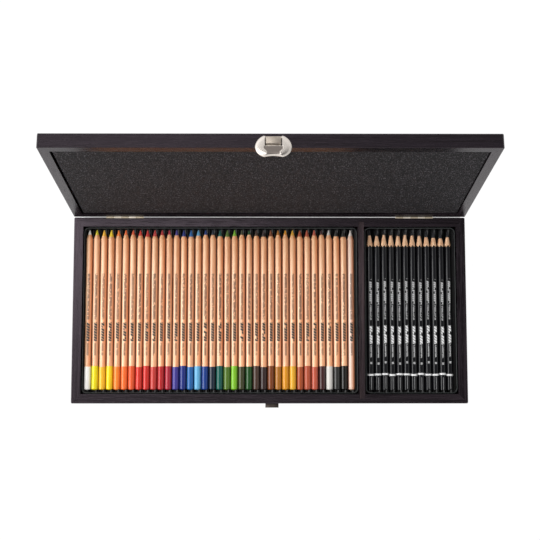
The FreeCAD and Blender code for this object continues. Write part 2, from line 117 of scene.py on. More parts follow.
# %% Wires and boards
class Wire:
    """One output socket, on which Python's operators add Math nodes."""

    def __init__(self, board, socket):
        self.board = board
        self.socket = socket

    def join(self, operation, first, second):
        return self.board.node("ShaderNodeMath", {"operation": operation},
                               {0: first, 1: second})[0]

    def __add__(self, other):
        return self.join("ADD", self, other)

    def __sub__(self, other):
        return self.join("SUBTRACT", self, other)

    def __rsub__(self, other):
        return self.join("SUBTRACT", other, self)

    def __mul__(self, other):
        return self.join("MULTIPLY", self, other)

    def __truediv__(self, other):
        return self.join("DIVIDE", self, other)

    def __rtruediv__(self, other):
        return self.join("DIVIDE", other, self)

    def __lt__(self, other):
        return self.join("LESS_THAN", self, other)

    def __gt__(self, other):
        return self.join("GREATER_THAN", self, other)

    def __abs__(self):
        return self.passed("ABSOLUTE")

    def passed(self, operation):
        """The wire, passed through a Math node that takes one value."""
        return self.join(operation, self, 0.0)

    def least(self, other):
        return self.join("MINIMUM", self, other)

    def most(self, other):
        return self.join("MAXIMUM", self, other)

    __radd__ = __add__
    __rmul__ = __mul__


class Made:
    """A node that has been added. Its outputs are read by number or by name."""

    def __init__(self, board, node):
        self.board = board
        self.node = node

    def __getitem__(self, key):
        return Wire(self.board, self.node.outputs[key])


class Board:
    """A node tree that is being written."""

    def __init__(self, tree):
        self.tree = tree

    def node(self, kind, settings=None, inputs=None):
        """Adds a node: its settings first, then the values or wires of its sockets."""
        made = self.tree.nodes.new(kind)
        for name, value in (settings or {}).items():
            setattr(made, name, value)
        for key, value in (inputs or {}).items():
            if isinstance(value, Wire):
                self.tree.links.new(value.socket, made.inputs[key])
            else:
                made.inputs[key].default_value = value
        return Made(self, made)

    def parts(self, vector):
        """The X, Y and Z of a vector."""
        return self.node("ShaderNodeSeparateXYZ", None, {0: vector})

    def between(self, value, low, high):
        """A wire that rises from 0 to 1 as the value goes from low to high."""
        return self.node("ShaderNodeMapRange", {"interpolation_type": "SMOOTHSTEP"},
                         {"Value": value, "From Min": low, "From Max": high})[0]


print("node helpers ready")

# %% [markdown]
# ## A finish and its usual parts
# Every finish here starts from object coordinates, which stay with the piece when it moves.
# A pattern such as grain is stretched by scaling those coordinates unevenly: little along the
# grain, much across it. Mixing two colours by a mask is the other step that comes back again
# and again, so both get a short method.

# %% Finishes
class Finish(Board):
    """A material with one Principled shader, and the steps that most finishes share."""

    def __init__(self, name):
        self.material = bpy.data.materials.new(name)
        self.material.use_nodes = True
        super().__init__(self.material.node_tree)
        self.shader = self.tree.nodes["Principled BSDF"]
        self.place = self.node("ShaderNodeTexCoord")["Object"]

    def started(self, turn, shift):
        """The coordinates, turned about the X axis and shifted, to start a pattern."""
        return self.node("ShaderNodeMapping", None,
                         {"Vector": self.place, "Rotation": (turn, 0, 0), "Location": shift})[0]

    def noise(self, start, scale, detail=3.0, roughness=0.5, distortion=0.0):
        """Noise on coordinates that are scaled first, which stretches its pattern."""
        stretched = self.node("ShaderNodeVectorMath", {"operation": "MULTIPLY"},
                              {0: start, 1: scale})
        return self.node("ShaderNodeTexNoise", None,
                         {"Vector": stretched[0], "Scale": 1.0, "Detail": detail,
                          "Roughness": roughness, "Distortion": distortion})["Fac"]

    def mixed(self, mask, first, second):
        """The first colour where the mask is 0, the second where it is 1."""
        pair = {}
        for socket, colour in ((6, first), (7, second)):
            pair[socket] = colour if isinstance(colour, Wire) else (*colour, 1.0)
        return self.node("ShaderNodeMix", {"data_type": "RGBA"}, {0: mask, **pair})[2]

    def bumped(self, height, distance, strength=1.0):
        """Raises the surface by a height, for the light only."""
        normal = self.node("ShaderNodeBump", None, {"Height": height, "Distance": distance,
                                                    "Strength": strength})[0]
        self.tree.links.new(normal.socket, self.shader.inputs["Normal"])

    def set(self, **values):
        """Sets sockets of the shader, named in small letters with underscores for spaces."""
        sockets = {socket.name.lower().replace(" ", "_"): socket for socket in self.shader.inputs}
        for name, value in values.items():
            socket = sockets[name]
            if isinstance(value, Wire):
                self.tree.links.new(value.socket, socket)
            elif isinstance(value, tuple):
                socket.default_value = (*value, 1.0)
            else:
                socket.default_value = value
        return self.material


print("finish helpers ready")

# %% [markdown]
# ## Dark stained wood
# The case is a plain light wood under a blackish brown stain and a satin lacquer. The stain
# sinks unevenly, so long faint streaks run with the grain, and the open pores show as fine
# dark dashes. Two noises do both: a slow one for streaks and a quick one for pores. The grain
# has to follow each rail, so the finish is a function of the direction of the rail, and of
# how far the piece is swung. The divider is given a lighter tone than the rails, and the
# lid's front rail a darker one.

# %% Stained wood
STAIN_DEEP = (0.003, 0.0022, 0.0027)
STAIN_THIN = (0.019, 0.014, 0.0175)
OTHER_THIN = {"divider": (0.062, 0.042, 0.043), "lid_front_rail": (0.008, 0.006, 0.0085)}
BOARD_SHIFT = 0.37
BASE_GLOSS = 0.42
LID_GLOSS = 0.32
GLOSS_TINT = (1.0, 0.82, 0.96)
GRAIN_AXES = {"x": (9, 420, 420), "y": (420, 9, 420)}
PORE_AXES = {"x": (70, 1500, 1500), "y": (1500, 70, 1500)}


def stained_wood(name, along, swung, shift, thin):
    """Stained wood whose grain runs along x or y of the closed case."""
    wood = Finish(name)
    start = wood.started(open_angle if swung else 0.0, (shift, 2 * shift, 3 * shift))
    streak = wood.noise(start, GRAIN_AXES[along], 4.0, 0.6, 0.6)
    pore = wood.between(wood.noise(start, PORE_AXES[along], 2.0), 0.52, 0.72)
    colour = wood.mixed(wood.between(streak, 0.34, 0.74), STAIN_DEEP, thin)
    wood.bumped(streak * 0.6 - pore, 0.05 * MM, 0.6)
    return wood.set(base_color=wood.mixed(pore * 0.6, colour, STAIN_DEEP),
                    roughness=0.22 + 0.14 * pore + 0.08 * streak,
                    specular_ior_level=LID_GLOSS if swung else BASE_GLOSS,
                    specular_tint=GLOSS_TINT)


WOODEN_PARTS = {
    "base_front_rail": "x", "base_back_rail": "x", "base_left_rail": "y",
    "base_right_rail": "y", "divider": "y", "base_bottom_panel": "x", "lid_front_rail": "x",
    "lid_back_rail": "x", "lid_left_rail": "y", "lid_right_rail": "y", "lid_top_panel": "x",
}


def dress(node, material):
    """Gives a CAD part a finish. Its shape and place stay as they are."""
    slots = frame["nodes"][node].data.materials
    slots.clear()
    slots.append(material)


for order, (node, along) in enumerate(WOODEN_PARTS.items()):
    swung = node.startswith("lid")
    thin = OTHER_THIN.get(node, STAIN_THIN)
    dress(node, stained_wood("stained_wood_" + node, along, swung, BOARD_SHIFT * order, thin))
print("stained", len(WOODEN_PARTS), "wooden parts")

# %% [markdown]
# ## Metals, foam and formed plastic
# The clasp is bright nickel plate with a very fine brushing, the hinges are pale brass plate,
# the catch is dark steel and the screws are plain. The lid's foam is a dark sheet with pale
# flecks where its cells are cut open. The trays are black glossy sheet. Each finish varies a
# little over its surface, because an even colour looks like paint from a tube.

# %% Metals
def brushed_plate(name):
    """The start of a plated metal: a fine brushing, and a slow cloud to vary it by."""
    plate = Finish(name)
    cloud = plate.noise(plate.place, (160, 160, 160), 3.0)
    plate.bumped(plate.noise(plate.place, (300, 4000, 4000), 2.0), 0.004 * MM, 0.4)
    return plate, cloud


def metal(name, colour, wear_and_lip_highlight, roughness, spread):
    """A metal whose tone and gloss wander a little over the surface."""
    plate, cloud = brushed_plate(name)
    return plate.set(base_color=plate.mixed(plate.between(cloud, 0.35, 0.75), colour, wear_and_lip_highlight),
                     metallic=1.0, roughness=roughness + spread * cloud)


plain_nickel = metal("satin_nickel_plate", (0.44, 0.385, 0.33), (0.38, 0.33, 0.28), 0.34, 0.1)
# brass and pale_brass are one brass in two tones: the darker one paints shade on the base's knuckles.
brass = metal("brass_plate", (0.50, 0.43, 0.33), (0.40, 0.34, 0.25), 0.3, 0.12)
pale_brass = metal("pale_brass_plate", (0.76, 0.70, 0.60), (0.60, 0.54, 0.44), 0.28, 0.12)
dark_steel = metal("dark_steel", (0.06, 0.05, 0.045), (0.11, 0.09, 0.08), 0.34, 0.14)
screw_plate = metal("screw_plate", (0.62, 0.57, 0.48), (0.48, 0.43, 0.36), 0.3, 0.12)
print("five metals")


# %% Foam and tray plastic
FOAM_DEEP = (0.0026, 0.0024, 0.0028)
FOAM_OPEN = (0.013, 0.0118, 0.0136)
FOAM_FLECK = (0.14, 0.125, 0.14)
SHEET_BLACK = (0.003, 0.0031, 0.0033)
SHEET_DUSTY = (0.014, 0.015, 0.015)
# The grey below is a painted highlight along the tray's lip.
SHEET_LIP_HIGHLIGHT = (0.045, 0.05, 0.05)
LIP_HIGHLIGHT_DEPTH = 0.22 * MM
LIP_HIGHLIGHT_FULL_DEPTH = 0.05 * MM


def foam_sheet():
    """Dark foam: fine cells, with pale flecks where they are cut open."""
    foam = Finish("dark_foam")
    cells = foam.noise(foam.place, (560, 560, 300), 2.0, 0.7)
    flecks = foam.noise(foam.place, (950, 950, 500), 1.0)
    tone = foam.mixed(foam.between(cells, 0.4, 0.64), FOAM_DEEP, FOAM_OPEN)
    pale = foam.between(flecks, 0.56, 0.66) * 0.4
    foam.bumped(cells + 0.6 * flecks, 0.25 * MM, 0.7)
    return foam.set(base_color=foam.mixed(pale, tone, FOAM_FLECK), roughness=0.85,
                    specular_ior_level=0.25)


def formed_plastic(lip_z):
    """Black glossy sheet with the slight waviness of forming, and a painted highlight along its lip.
    """
    sheet = Finish("black_formed_plastic")
    wave = sheet.noise(sheet.place, (60, 60, 60), 2.0)
    dust = sheet.between(sheet.noise(sheet.place, (2600, 2600, 2600), 1.0), 0.6, 0.8)
    sheet.bumped(wave, 0.06 * MM, 0.5)
    height = sheet.parts(sheet.place)["Z"]
    # Painted highlight: the sheet turns grey toward the top of its lip, where the rounded edge
    # catches light.
    wear_and_lip_highlight = sheet.between(height, lip_z - LIP_HIGHLIGHT_DEPTH, lip_z - LIP_HIGHLIGHT_FULL_DEPTH)
    black = sheet.mixed(dust * 0.4, SHEET_BLACK, SHEET_DUSTY)
    return sheet.set(base_color=sheet.mixed(wear_and_lip_highlight, black, SHEET_LIP_HIGHLIGHT),
                     roughness=0.24 + 0.12 * wave + 0.1 * dust, specular_ior_level=0.32)


foam_finish = foam_sheet()
tray_finish = formed_plastic(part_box("left_tray")[1].z)
print("foam and tray plastic")

# %% [markdown]
# ## Helpers that make meshes
# A new piece is a list of corners and faces. Smooth shading is set by angle: gentle bends
# shade smoothly, and real edges stay crisp. Modifiers are used freely while a piece is made,
# and then settled into a plain mesh, because the piece has to ride on a body of the model.

# %% Mesh helpers
SAME_POINT = 1e-7
ROUND_FROM_DEGREES = 40
ROUND_STEPS = 2


def new_object(name, vertices, faces):
    """An object from corners and faces, with its faces turned outwards."""
    mesh = bpy.data.meshes.new(name)
    mesh.from_pydata([tuple(corner) for corner in vertices], [], faces)
    work = bmesh.new()
    work.from_mesh(mesh)
    bmesh.ops.remove_doubles(work, verts=work.verts, dist=SAME_POINT)
    bmesh.ops.recalc_face_normals(work, faces=work.faces)
    work.to_mesh(mesh)
    work.free()
    return placed(name, mesh)


def woven(count, spans, closed=True):
    """Faces between pairs of rows of count points each. A closed row is a ring."""
    faces = []
    for row, following in spans:
        for index in range(count if closed else count - 1):
            beside = (index + 1) % count
            faces.append((row * count + index, row * count + beside,
                          following * count + beside, following * count + index))
    return faces


def settled(made, name=None):
    """The modifiers worked into a plain mesh, on the object or on a copy under a new name."""
    depsgraph = bpy.context.evaluated_depsgraph_get()
    mesh = bpy.data.meshes.new_from_object(made.evaluated_get(depsgraph))
    if name is not None:
        return placed(name, mesh)
    made.modifiers.clear()
    made.data = mesh
    return made


def rounded_edges(made, width):
    """Rounds every sharp edge by a width."""
    bevel = made.modifiers.new("rounded_edges", "BEVEL")
    bevel.width = width
    bevel.segments = ROUND_STEPS
    bevel.limit_method = "ANGLE"
    bevel.angle_limit = math.radians(ROUND_FROM_DEGREES)
    return settled(made)


def cut(made, cutter):
    """Cuts one object with another, which is then removed."""
    change = made.modifiers.new("cut", "BOOLEAN")
    change.operation = "DIFFERENCE"
    change.object = cutter
    change.solver = "EXACT"
    settled(made)
    bpy.data.objects.remove(cutter)
    return made


def gathered(name, parts):
    """One object that holds the meshes of several, which are removed."""
    work = bmesh.new()
    for part in parts:
        work.from_mesh(part.data)
        bpy.data.objects.remove(part)
    mesh = bpy.data.meshes.new(name)
    work.to_mesh(mesh)
    work.free()
    return placed(name, mesh)


def moved(made, matrix):
    """Works a movement into the mesh itself."""
    made.data.transform(matrix)
    return made


def fitted(made, material, body, slot, *nodes, edge_degrees=35):
    """Finishes a piece: smooth but for sharp edges, with material, body and CAD parts. The slot is
    not used.
    """
    made.data.shade_smooth()
    made.data.set_sharp_from_angle(angle=math.radians(edge_degrees))
    made.data.materials.clear()
    made.data.materials.append(material)
    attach(made, body)
    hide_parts(*nodes)
    return made


def triangles(made):
    return sum(len(face.vertices) - 2 for face in made.data.polygons)


print("mesh helpers ready")

# %% [markdown]
# ## Geometry Nodes: a pencil by rule
# A pencil is a tube whose radius follows two rules. Along its length it follows an outline:
# round the blunt end, straight along the barrel, down the cone to the lead. Around its axis
# a six-sided pencil also keeps inside six flats. The smaller of the two radii wins, and where
# the cone meets the flats this draws the scalloped edge that every sharpened pencil has. The
# tree reads the outline from the points of a line, sweeps a circle along it and sets each
# point's radius. A round pencil is the same tree with its flats set far out.

# %% Shape trees
WELD_DISTANCE = 0.001 * MM


def shape_tree(name, inputs):
    """A Geometry Nodes tree with named inputs. Returns its board, its inputs and their ids."""
    tree = bpy.data.node_groups.new(name, "GeometryNodeTree")
    tree.interface.new_socket("Geometry", in_out="INPUT", socket_type="NodeSocketGeometry")
    ids = {}
    for label, kind in inputs.items():
        socket = tree.interface.new_socket(label, in_out="INPUT", socket_type="NodeSocket" + kind)
        ids[label] = socket.identifier
    tree.interface.new_socket("Geometry", in_out="OUTPUT", socket_type="NodeSocketGeometry")
    board = Board(tree)
    return board, board.node("NodeGroupInput"), ids


def end_tree(board, geometry, finish):
    """Ends a tree: copies become real, and the finish is set."""
    real = board.node("GeometryNodeRealizeInstances", None, {0: geometry})
    dressed = board.node("GeometryNodeSetMaterial", None, {"Geometry": real[0], "Material": finish})
    board.node("NodeGroupOutput", None, {0: dressed[0]})


def grown(tree, ids, source, name, **values):
    """Runs a tree on a source object and returns the result as a plain object."""
    modifier = source.modifiers.new(tree.name, "NODES")
    modifier.node_group = tree
    for label, value in values.items():
        modifier[ids[label.replace("_", " ").capitalize()]] = value
    made = settled(source, name)
    source.modifiers.clear()
    return made


def to_flat(board, x, z, half_across_flats):
    """How far the flat of a six-sided pencil lies from its axis, toward the point (x, z)."""
    sixth = math.pi / 3
    angle = z.join("ARCTAN2", z, x)
    wrapped = board.node("ShaderNodeMath", {"operation": "WRAP"}, {0: angle, 1: sixth, 2: 0.0})[0]
    return half_across_flats / (wrapped - sixth / 2).passed("COSINE")


def pencil_tree():
    """Sweeps a circle along the source line, with the radius set by outline and flats."""
    board, given, ids = shape_tree("pencil_by_rule", {
        "Segments": "Int", "Half across flats": "Float", "Place": "Vector", "Finish": "Material"})
    line = board.node("GeometryNodeMeshToCurve", None, {0: given["Geometry"]})
    ring = board.node("GeometryNodeCurvePrimitiveCircle", None,
                      {"Resolution": given["Segments"], "Radius": 1.0})
    tube = board.node("GeometryNodeCurveToMesh", None, {"Curve": line[0], "Profile Curve": ring[0]})
    outline = board.node("GeometryNodeInputNamedAttribute", {"data_type": "FLOAT"},
                         {"Name": "outline_radius"})[0]
    spot = board.parts(board.node("GeometryNodeInputPosition")[0])
    radius = outline.least(to_flat(board, spot["X"], spot["Z"], given["Half across flats"]))
    where = board.node("ShaderNodeCombineXYZ", None,
                       {"X": spot["X"] * radius, "Y": spot["Y"], "Z": spot["Z"] * radius})
    moved = board.node("GeometryNodeSetPosition", None,
                       {"Geometry": tube[0], "Position": where[0], "Offset": given["Place"]})
    closed = board.node("GeometryNodeMergeByDistance", None,
                        {"Geometry": moved[0], "Distance": WELD_DISTANCE})
    end_tree(board, closed[0], given["Finish"])
    return board.tree, ids


def row_tree():
    """Repeats the source along a straight row."""
    board, given, ids = shape_tree("row_of_copies", {
        "Count": "Int", "First": "Vector", "Step": "Vector", "Finish": "Material"})
    points = board.node("GeometryNodeMeshLine", {"mode": "OFFSET"},
                        {"Count": given["Count"], "Start Location": given["First"],
                         "Offset": given["Step"]})
    copies = board.node("GeometryNodeInstanceOnPoints", None,
                        {"Points": points[0], "Instance": given["Geometry"]})
    end_tree(board, copies[0], given["Finish"])
    return board.tree, ids


PENCIL_TREE, PENCIL_INPUTS = pencil_tree()
ROW_TREE, ROW_INPUTS = row_tree()
print("two shape trees:", PENCIL_TREE.name, "and", ROW_TREE.name)


# %% [markdown]
# ## The outline of a pencil
# The outline is a short list of stations, each with its place along the pencil and its
# radius there. The blunt end is slightly domed with a rounded edge, as dipped paint leaves
# it. The cone ends in a lead that is rounded from use. The stations become the points of a
# line, and the radius is stored on them as an attribute for the tree to read.

# %% Outline
CROWN_SHARE = 0.3
EDGE_STEPS = 6


def pencil_outline(length, radius, point_length, tip_radius, end_round, cone_steps):
    """Stations (distance from the blunt end, radius) from the blunt end to the tip."""
    crown = CROWN_SHARE * end_round
    stations = []
    for share in (0, 0.5, 1):
        stations.append((crown * share ** 2, (radius - end_round) * share))
    for step in range(1, EDGE_STEPS + 1):
        angle = math.pi / 2 * step / EDGE_STEPS
        stations.append((crown + (end_round - crown) * (1 - math.cos(angle)),
                         radius - end_round + end_round * math.sin(angle)))
    cone_foot = length - point_length
    cone_top = length - tip_radius
    for share in (0.25, 0.5, 0.75):
        stations.append((end_round + (cone_foot - end_round) * share, radius))
    for step in range(cone_steps + 1):
        share = step / cone_steps
        stations.append((cone_foot + (cone_top - cone_foot) * share,
                         radius + (tip_radius - radius) * share))
    for angle in (30, 60, 90):
        turn = math.radians(angle)
        stations.append((cone_top + tip_radius * math.sin(turn), tip_radius * math.cos(turn)))
    return stations


def station_line(name, stations):
    """The stations as points of a line along Y, with the radius as an attribute."""
    mesh = bpy.data.meshes.new(name)
    edges = [(index, index + 1) for index in range(len(stations) - 1)]
    mesh.from_pydata([(0, along, 0) for along, radius in stations], edges, [])
    outline = mesh.attributes.new("outline_radius", "FLOAT", "POINT")
    outline.data.foreach_set("value", [radius for along, radius in stations])
    return placed(name, mesh)


print("an outline rounds its edge in", EDGE_STEPS, "steps")

# %% [markdown]
# ## What is printed on a pencil
# Real pencils carry print along the barrel. Here it is generic: rows of small dashes that
# read as print from a distance and say nothing from near by. The barrel's length is divided
# into cells, each cell draws a random number, and a dash is printed where the number is high
# enough. Zones with coarser and finer cells give the rhythm of print. A zone's start, end and
# cell are in millimetres along the pencil. Its half width counts from the barrel's middle,
# where its edge is 1.

# %% Printed marks
Zone = namedtuple("Zone", "start end cell half_width columns slant chance ink")
ROUND_PRINT = [
    Zone(39.7, -10.4, 1.4, 0.36, 3, 0.0, 0.12, 1.05),
    Zone(-13.7, -33.9, 2.9, 0.46, 2, 0.7, 0.05, 2.2),
    Zone(-36.0, -49.5, 1.1, 0.28, 2, 0.0, 0.06, 0.98),
]
GRAPHITE_PRINT_AND_HIGHLIGHT = [
    Zone(33.6, 6.3, 2.2, 0.4, 2, 0.4, 0.22, 0.8),
    Zone(5.0, -11.0, 1.0, 0.26, 2, 0.0, 0.2, 0.7),
    Zone(-17.5, -36.8, 3.0, 0.46, 2, 0.7, 0.14, 1.3),
    Zone(-38.0, -51.5, 1.0, 0.24, 2, 0.0, 0.15, 0.75),
    Zone(-55.0, -58.6, 1.2, 0.36, 2, 0.0, 0.3, 0.8),
    # Not print: a painted highlight, a thin pale line along the barrel's middle below the ring.
    Zone(-72.4, -86.0, 1000, 0.09, 1, 0.0, -1.0, 0.45),
]
PRINT_OFF_MIDDLE = 0.08
STROKE_GAP = 0.2


def zone_marks(finish, zones, across, along, seed):
    """A mask of dashes: across runs from -1 to 1 over the barrel, along is in metres."""
    total = 0
    across = across - PRINT_OFF_MIDDLE
    for zone in zones:
        cell = along / (zone.cell * MM) + across * zone.slant
        column = (across / zone.half_width + 1) * (zone.columns / 2)
        corner = finish.node("ShaderNodeCombineXYZ", None, {
            "X": cell.passed("FLOOR"), "Y": column.passed("FLOOR"), "Z": seed})
        chance = finish.node("ShaderNodeTexWhiteNoise", None, {"Vector": corner[0]})["Value"]
        inside = (along < zone.start * MM) * (along > zone.end * MM)
        inside = inside * (abs(across) < zone.half_width)
        stroke = (cell.passed("FRACT") > STROKE_GAP) * (chance > zone.chance)
        total = total + inside * stroke * zone.ink
    return total


print("print zones:", len(ROUND_PRINT), "and", len(GRAPHITE_PRINT_AND_HIGHLIGHT))

# %% [markdown]
# ## Round colour pencils
# The barrels are bare cedar under a clear lacquer. The lead shows at the tip and the blunt
# end is dipped in the same colour. All of that lies along one axis, so the finish only asks
# how far along the pencil a point is. Cedar is warm, its grain is long and fine, and no two
# barrels are cut from the same board, so each pencil gets its own tone from its number. The
# last pencil has no colour of its own: its tip is pale and its end isn't dipped.

# %% Colours of the leads
LEAD_COLOURS = {
    "white": (0.86, 0.84, 0.78), "lemon": (0.78, 0.65, 0.007), "light_yellow": (0.87, 0.45, 0.02),
    "yellow": (0.87, 0.61, 0.007), "orange": (0.89, 0.22, 0.026), "orange_red": (0.87, 0.15, 0.026),
    "vermilion": (0.73, 0.093, 0.023), "scarlet": (0.61, 0.032, 0.018), "red": (0.56, 0.025, 0.018),
    "dark_red": (0.51, 0.042, 0.034), "crimson": (0.44, 0.016, 0.019),
    "magenta": (0.38, 0.016, 0.034), "blue_violet": (0.048, 0.037, 0.25),
    "ultramarine": (0.012, 0.025, 0.19), "cobalt_blue": (0.016, 0.12, 0.36),
    "sky_blue": (0.12, 0.39, 0.63), "blue": (0.007, 0.04, 0.22), "indigo": (0.007, 0.018, 0.034),
    "teal": (0.004, 0.093, 0.072), "green": (0.08, 0.16, 0.018), "bright_green": (0.19, 0.47, 0.018),
    "olive": (0.045, 0.048, 0.016), "dark_green": (0.009, 0.065, 0.009),
    "dark_brown": (0.061, 0.032, 0.021), "sepia": (0.032, 0.016, 0.014),
    "brown": (0.19, 0.048, 0.01), "ochre": (0.38, 0.14, 0.013), "golden_yellow": (0.66, 0.27, 0.012),
    "gold_ochre": (0.72, 0.37, 0.021), "burnt_orange": (0.37, 0.069, 0.018),
    "red_brown": (0.43, 0.08, 0.034), "salmon": (0.48, 0.089, 0.048), "maroon": (0.048, 0.013, 0.012),
    "light_grey": (0.62, 0.60, 0.56), "dark_grey": (0.025, 0.025, 0.023),
    "black": (0.007, 0.006, 0.004), "blending": (0.74, 0.66, 0.60),
}
CEDAR_PALE = (0.90, 0.53, 0.29)
CEDAR_WARM = (0.72, 0.32, 0.12)
CEDAR_RED = (0.60, 0.23, 0.075)
# The next two colours are painted shade: the barrel's right side and its deep flanks.
CEDAR_SHADE_ORANGE = (0.90, 0.27, 0.075)
CEDAR_GAP_SHADE = (0.17, 0.03, 0.014)
PRINT_INK = (0.006, 0.004, 0.004)
THIN_INK = (0.05, 0.016, 0.010)
CEDAR_WHITE = (0.70, 0.55, 0.46)
UNDIPPED = "blending"
LEAD_START_Y = 81.6 * MM
DIP_START_Y = -61.2 * MM
print("colours:", len(LEAD_COLOURS))


# %% Finish of a round pencil
def bare_cedar(cedar, start, seed, across, along, cone_foot_y):
    """The wood and its grain, with painted shade: a deeper orange on the right side, and dark red on
    the flanks, which lie deep between two pencils.
    """
    grain = cedar.noise(start, (900, 22, 900), 4.0, 0.62, 0.3)
    fleck = cedar.noise(start, (2600, 160, 2600), 2.0)
    pale_share = 0.5 + 0.6 * math.sin(2.4 * seed)
    deep = tuple(a + (b - a) * pale_share for a, b in zip(CEDAR_RED, CEDAR_WARM))
    wood = cedar.mixed(cedar.between(grain, 0.36, 0.74), CEDAR_PALE, deep)
    wood = cedar.mixed(cedar.between(fleck, 0.58, 0.8) * 0.35, wood, CEDAR_RED)
    if cedar.material.name.endswith(UNDIPPED):
        wood = cedar.mixed(0.75, wood, CEDAR_WHITE)
    ring = cedar.noise(start, (200, 3200, 200), 1.0)
    shaving = (along > cone_foot_y) * cedar.between(ring, 0.45, 0.7) * 0.25
    wood = cedar.mixed(shaving, wood, CEDAR_WARM)
    # Painted shade: the right side of each barrel, away from the lamp, is painted a deeper orange.
    shaded_side = cedar.between(across, -0.35, 0.75)
    wood = cedar.mixed(shaded_side * (0.45 + 0.35 * pale_share), wood, CEDAR_SHADE_ORANGE)
    # Painted shade: the flanks deep between two pencils are painted dark red and lose their coat.
    gap_shade = cedar.between(0 - across, 0.55, 0.9) + cedar.between(across, 0.9, 1.1)
    gap_shade = gap_shade * (along < cone_foot_y)
    return cedar.mixed(gap_shade * 0.85, wood, CEDAR_GAP_SHADE), grain, gap_shade


def round_pencil_finish(colour_name, seed, axis_x, axis_z, radius, cone_foot_y):
    """Bare cedar with a coloured lead and a dipped end, printed along its top."""
    cedar = Finish("pencil_" + colour_name)
    start = cedar.started(0.0, (0.71 * seed, 0.13 * seed, 0.0))
    spot = cedar.parts(cedar.place)
    across = (spot["X"] - axis_x) / radius
    along = spot["Y"]
    wood, grain, gap_shade = bare_cedar(cedar, start, seed, across, along, cone_foot_y)
    ink = 0.66 + 0.2 * math.sin(1.7 * seed + 0.6) ** 2
    marks = zone_marks(cedar, ROUND_PRINT, across, along, float(seed)) * ink
    heavy = cedar.between(marks, 0.9, 1.0)
    marks = (marks * (spot["Z"] > axis_z)).least(1.0)
    wood = cedar.mixed(marks, wood, cedar.mixed(heavy, THIN_INK, PRINT_INK))
    lead = LEAD_COLOURS[colour_name]
    chalk = cedar.noise(start, (1500, 1500, 1500), 2.0)
    edge = along + (grain - 0.5) * (0.5 * MM) + math.sin(5.1 * seed) * 1.2 * MM
    colour = cedar.mixed(edge > LEAD_START_Y, wood,
                         cedar.mixed(chalk * 0.25, lead, tuple(0.7 * part for part in lead)))
    dip_y = DIP_START_Y + math.sin(3.7 * seed) * 0.6 * MM
    dipped = along < (dip_y if colour_name != UNDIPPED else -1.0)
    colour = cedar.mixed(dipped, colour, lead)
    cedar.bumped(grain * (1 - dipped), 0.03 * MM, 0.5)
    return cedar.set(base_color=colour, roughness=0.44 + 0.1 * grain - 0.26 * dipped,
                     coat_weight=0.8 * (1 - dipped) * (1 - gap_shade * 0.8) * (1 - marks * 0.85),
                     coat_roughness=0.4, coat_ior=1.9)


print("the finish of round pencils is ready for", len(LEAD_COLOURS), "colours")


# %% Lay the round pencils
ROUND_SEGMENTS = 40
ROUND_CONE_STEPS = 6
PENCIL_EDGE_DEGREES = 50
POINT_LENGTH = 11.1 * MM
TIP_RADIUS = 0.6 * MM
END_ROUND = 1.7 * MM
FAR_OUT = 1.0


def lay_round_pencils():
    """One smooth pencil for each round pencil of the model, on its own body."""
    nodes = sorted(node for node in frame["nodes"] if node.startswith("pencil_"))
    low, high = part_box(nodes[0])
    radius, length = (high.x - low.x) / 2, high.y - low.y
    line = station_line("round_outline", pencil_outline(length, radius, POINT_LENGTH, TIP_RADIUS,
                                                        END_ROUND, ROUND_CONE_STEPS))
    for seed, node in enumerate(nodes, 1):
        low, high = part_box(node)
        colour_name = node.split("_", 2)[2]
        axis_x, axis_z = (low.x + high.x) / 2, (low.z + high.z) / 2
        finish = round_pencil_finish(colour_name, seed, axis_x, axis_z, radius,
                                     high.y - POINT_LENGTH)
        made = grown(PENCIL_TREE, PENCIL_INPUTS, line, "smooth_" + node, Segments=ROUND_SEGMENTS,
                     Half_across_flats=FAR_OUT, Place=(axis_x, low.y, axis_z), Finish=finish)
        fitted(made, finish, node, "colour_" + colour_name, node,
               edge_degrees=PENCIL_EDGE_DEGREES)
    bpy.data.objects.remove(line)
    return len(nodes), triangles(made)


print("round pencils, and triangles of each:", lay_round_pencils())

# %% [markdown]
# ## Six-sided graphite pencils
# The twelve graphite pencils are alike, so one is made by the pencil tree and the row tree
# repeats it. Their finish is black lacquer on the flats and bare cedar on the cone. The edge
# between them isn't a straight line: it lies where the cone cuts the flats. The shader finds
# it by the tree's own rule, asking whether a point lies nearer to the axis than the flats do.
# A thin white ring runs round each pencil near its blunt end. Below it, a thin pale line
# along the barrel's middle is a painted highlight.

# %% Graphite pencils
GRAPHITE_COUNT = 12
ACROSS_FLATS = 6.8 * MM
ACROSS_CORNERS = 7.4 * MM
GRAPHITE_POINT = 19.0 * MM
GRAPHITE_TIP = 0.35 * MM
GRAPHITE_END_ROUND = 0.5 * MM
GRAPHITE_SEGMENTS = 60
GRAPHITE_CONE_STEPS = 22
GRAPHITE_LEAD_Y = 82.0 * MM
LONG_LEADS_FROM = 7.5
LONG_LEAD = 2.6 * MM
RING_FROM_Y = -70.9 * MM
RING_TO_Y = -68.9 * MM
# This white serves the ring, the print and a painted highlight line.
RING_PRINT_AND_HIGHLIGHT_WHITE = (0.72, 0.72, 0.72)
LACQUER_BLACK = (0.005, 0.005, 0.0065)
CONE_PALE = (0.84, 0.56, 0.36)
CONE_WARM = (0.66, 0.34, 0.17)
LEAD_GREY = (0.03, 0.03, 0.034)
PRINT_NARROWING = 1.15
PRINT_SEED = 50.0


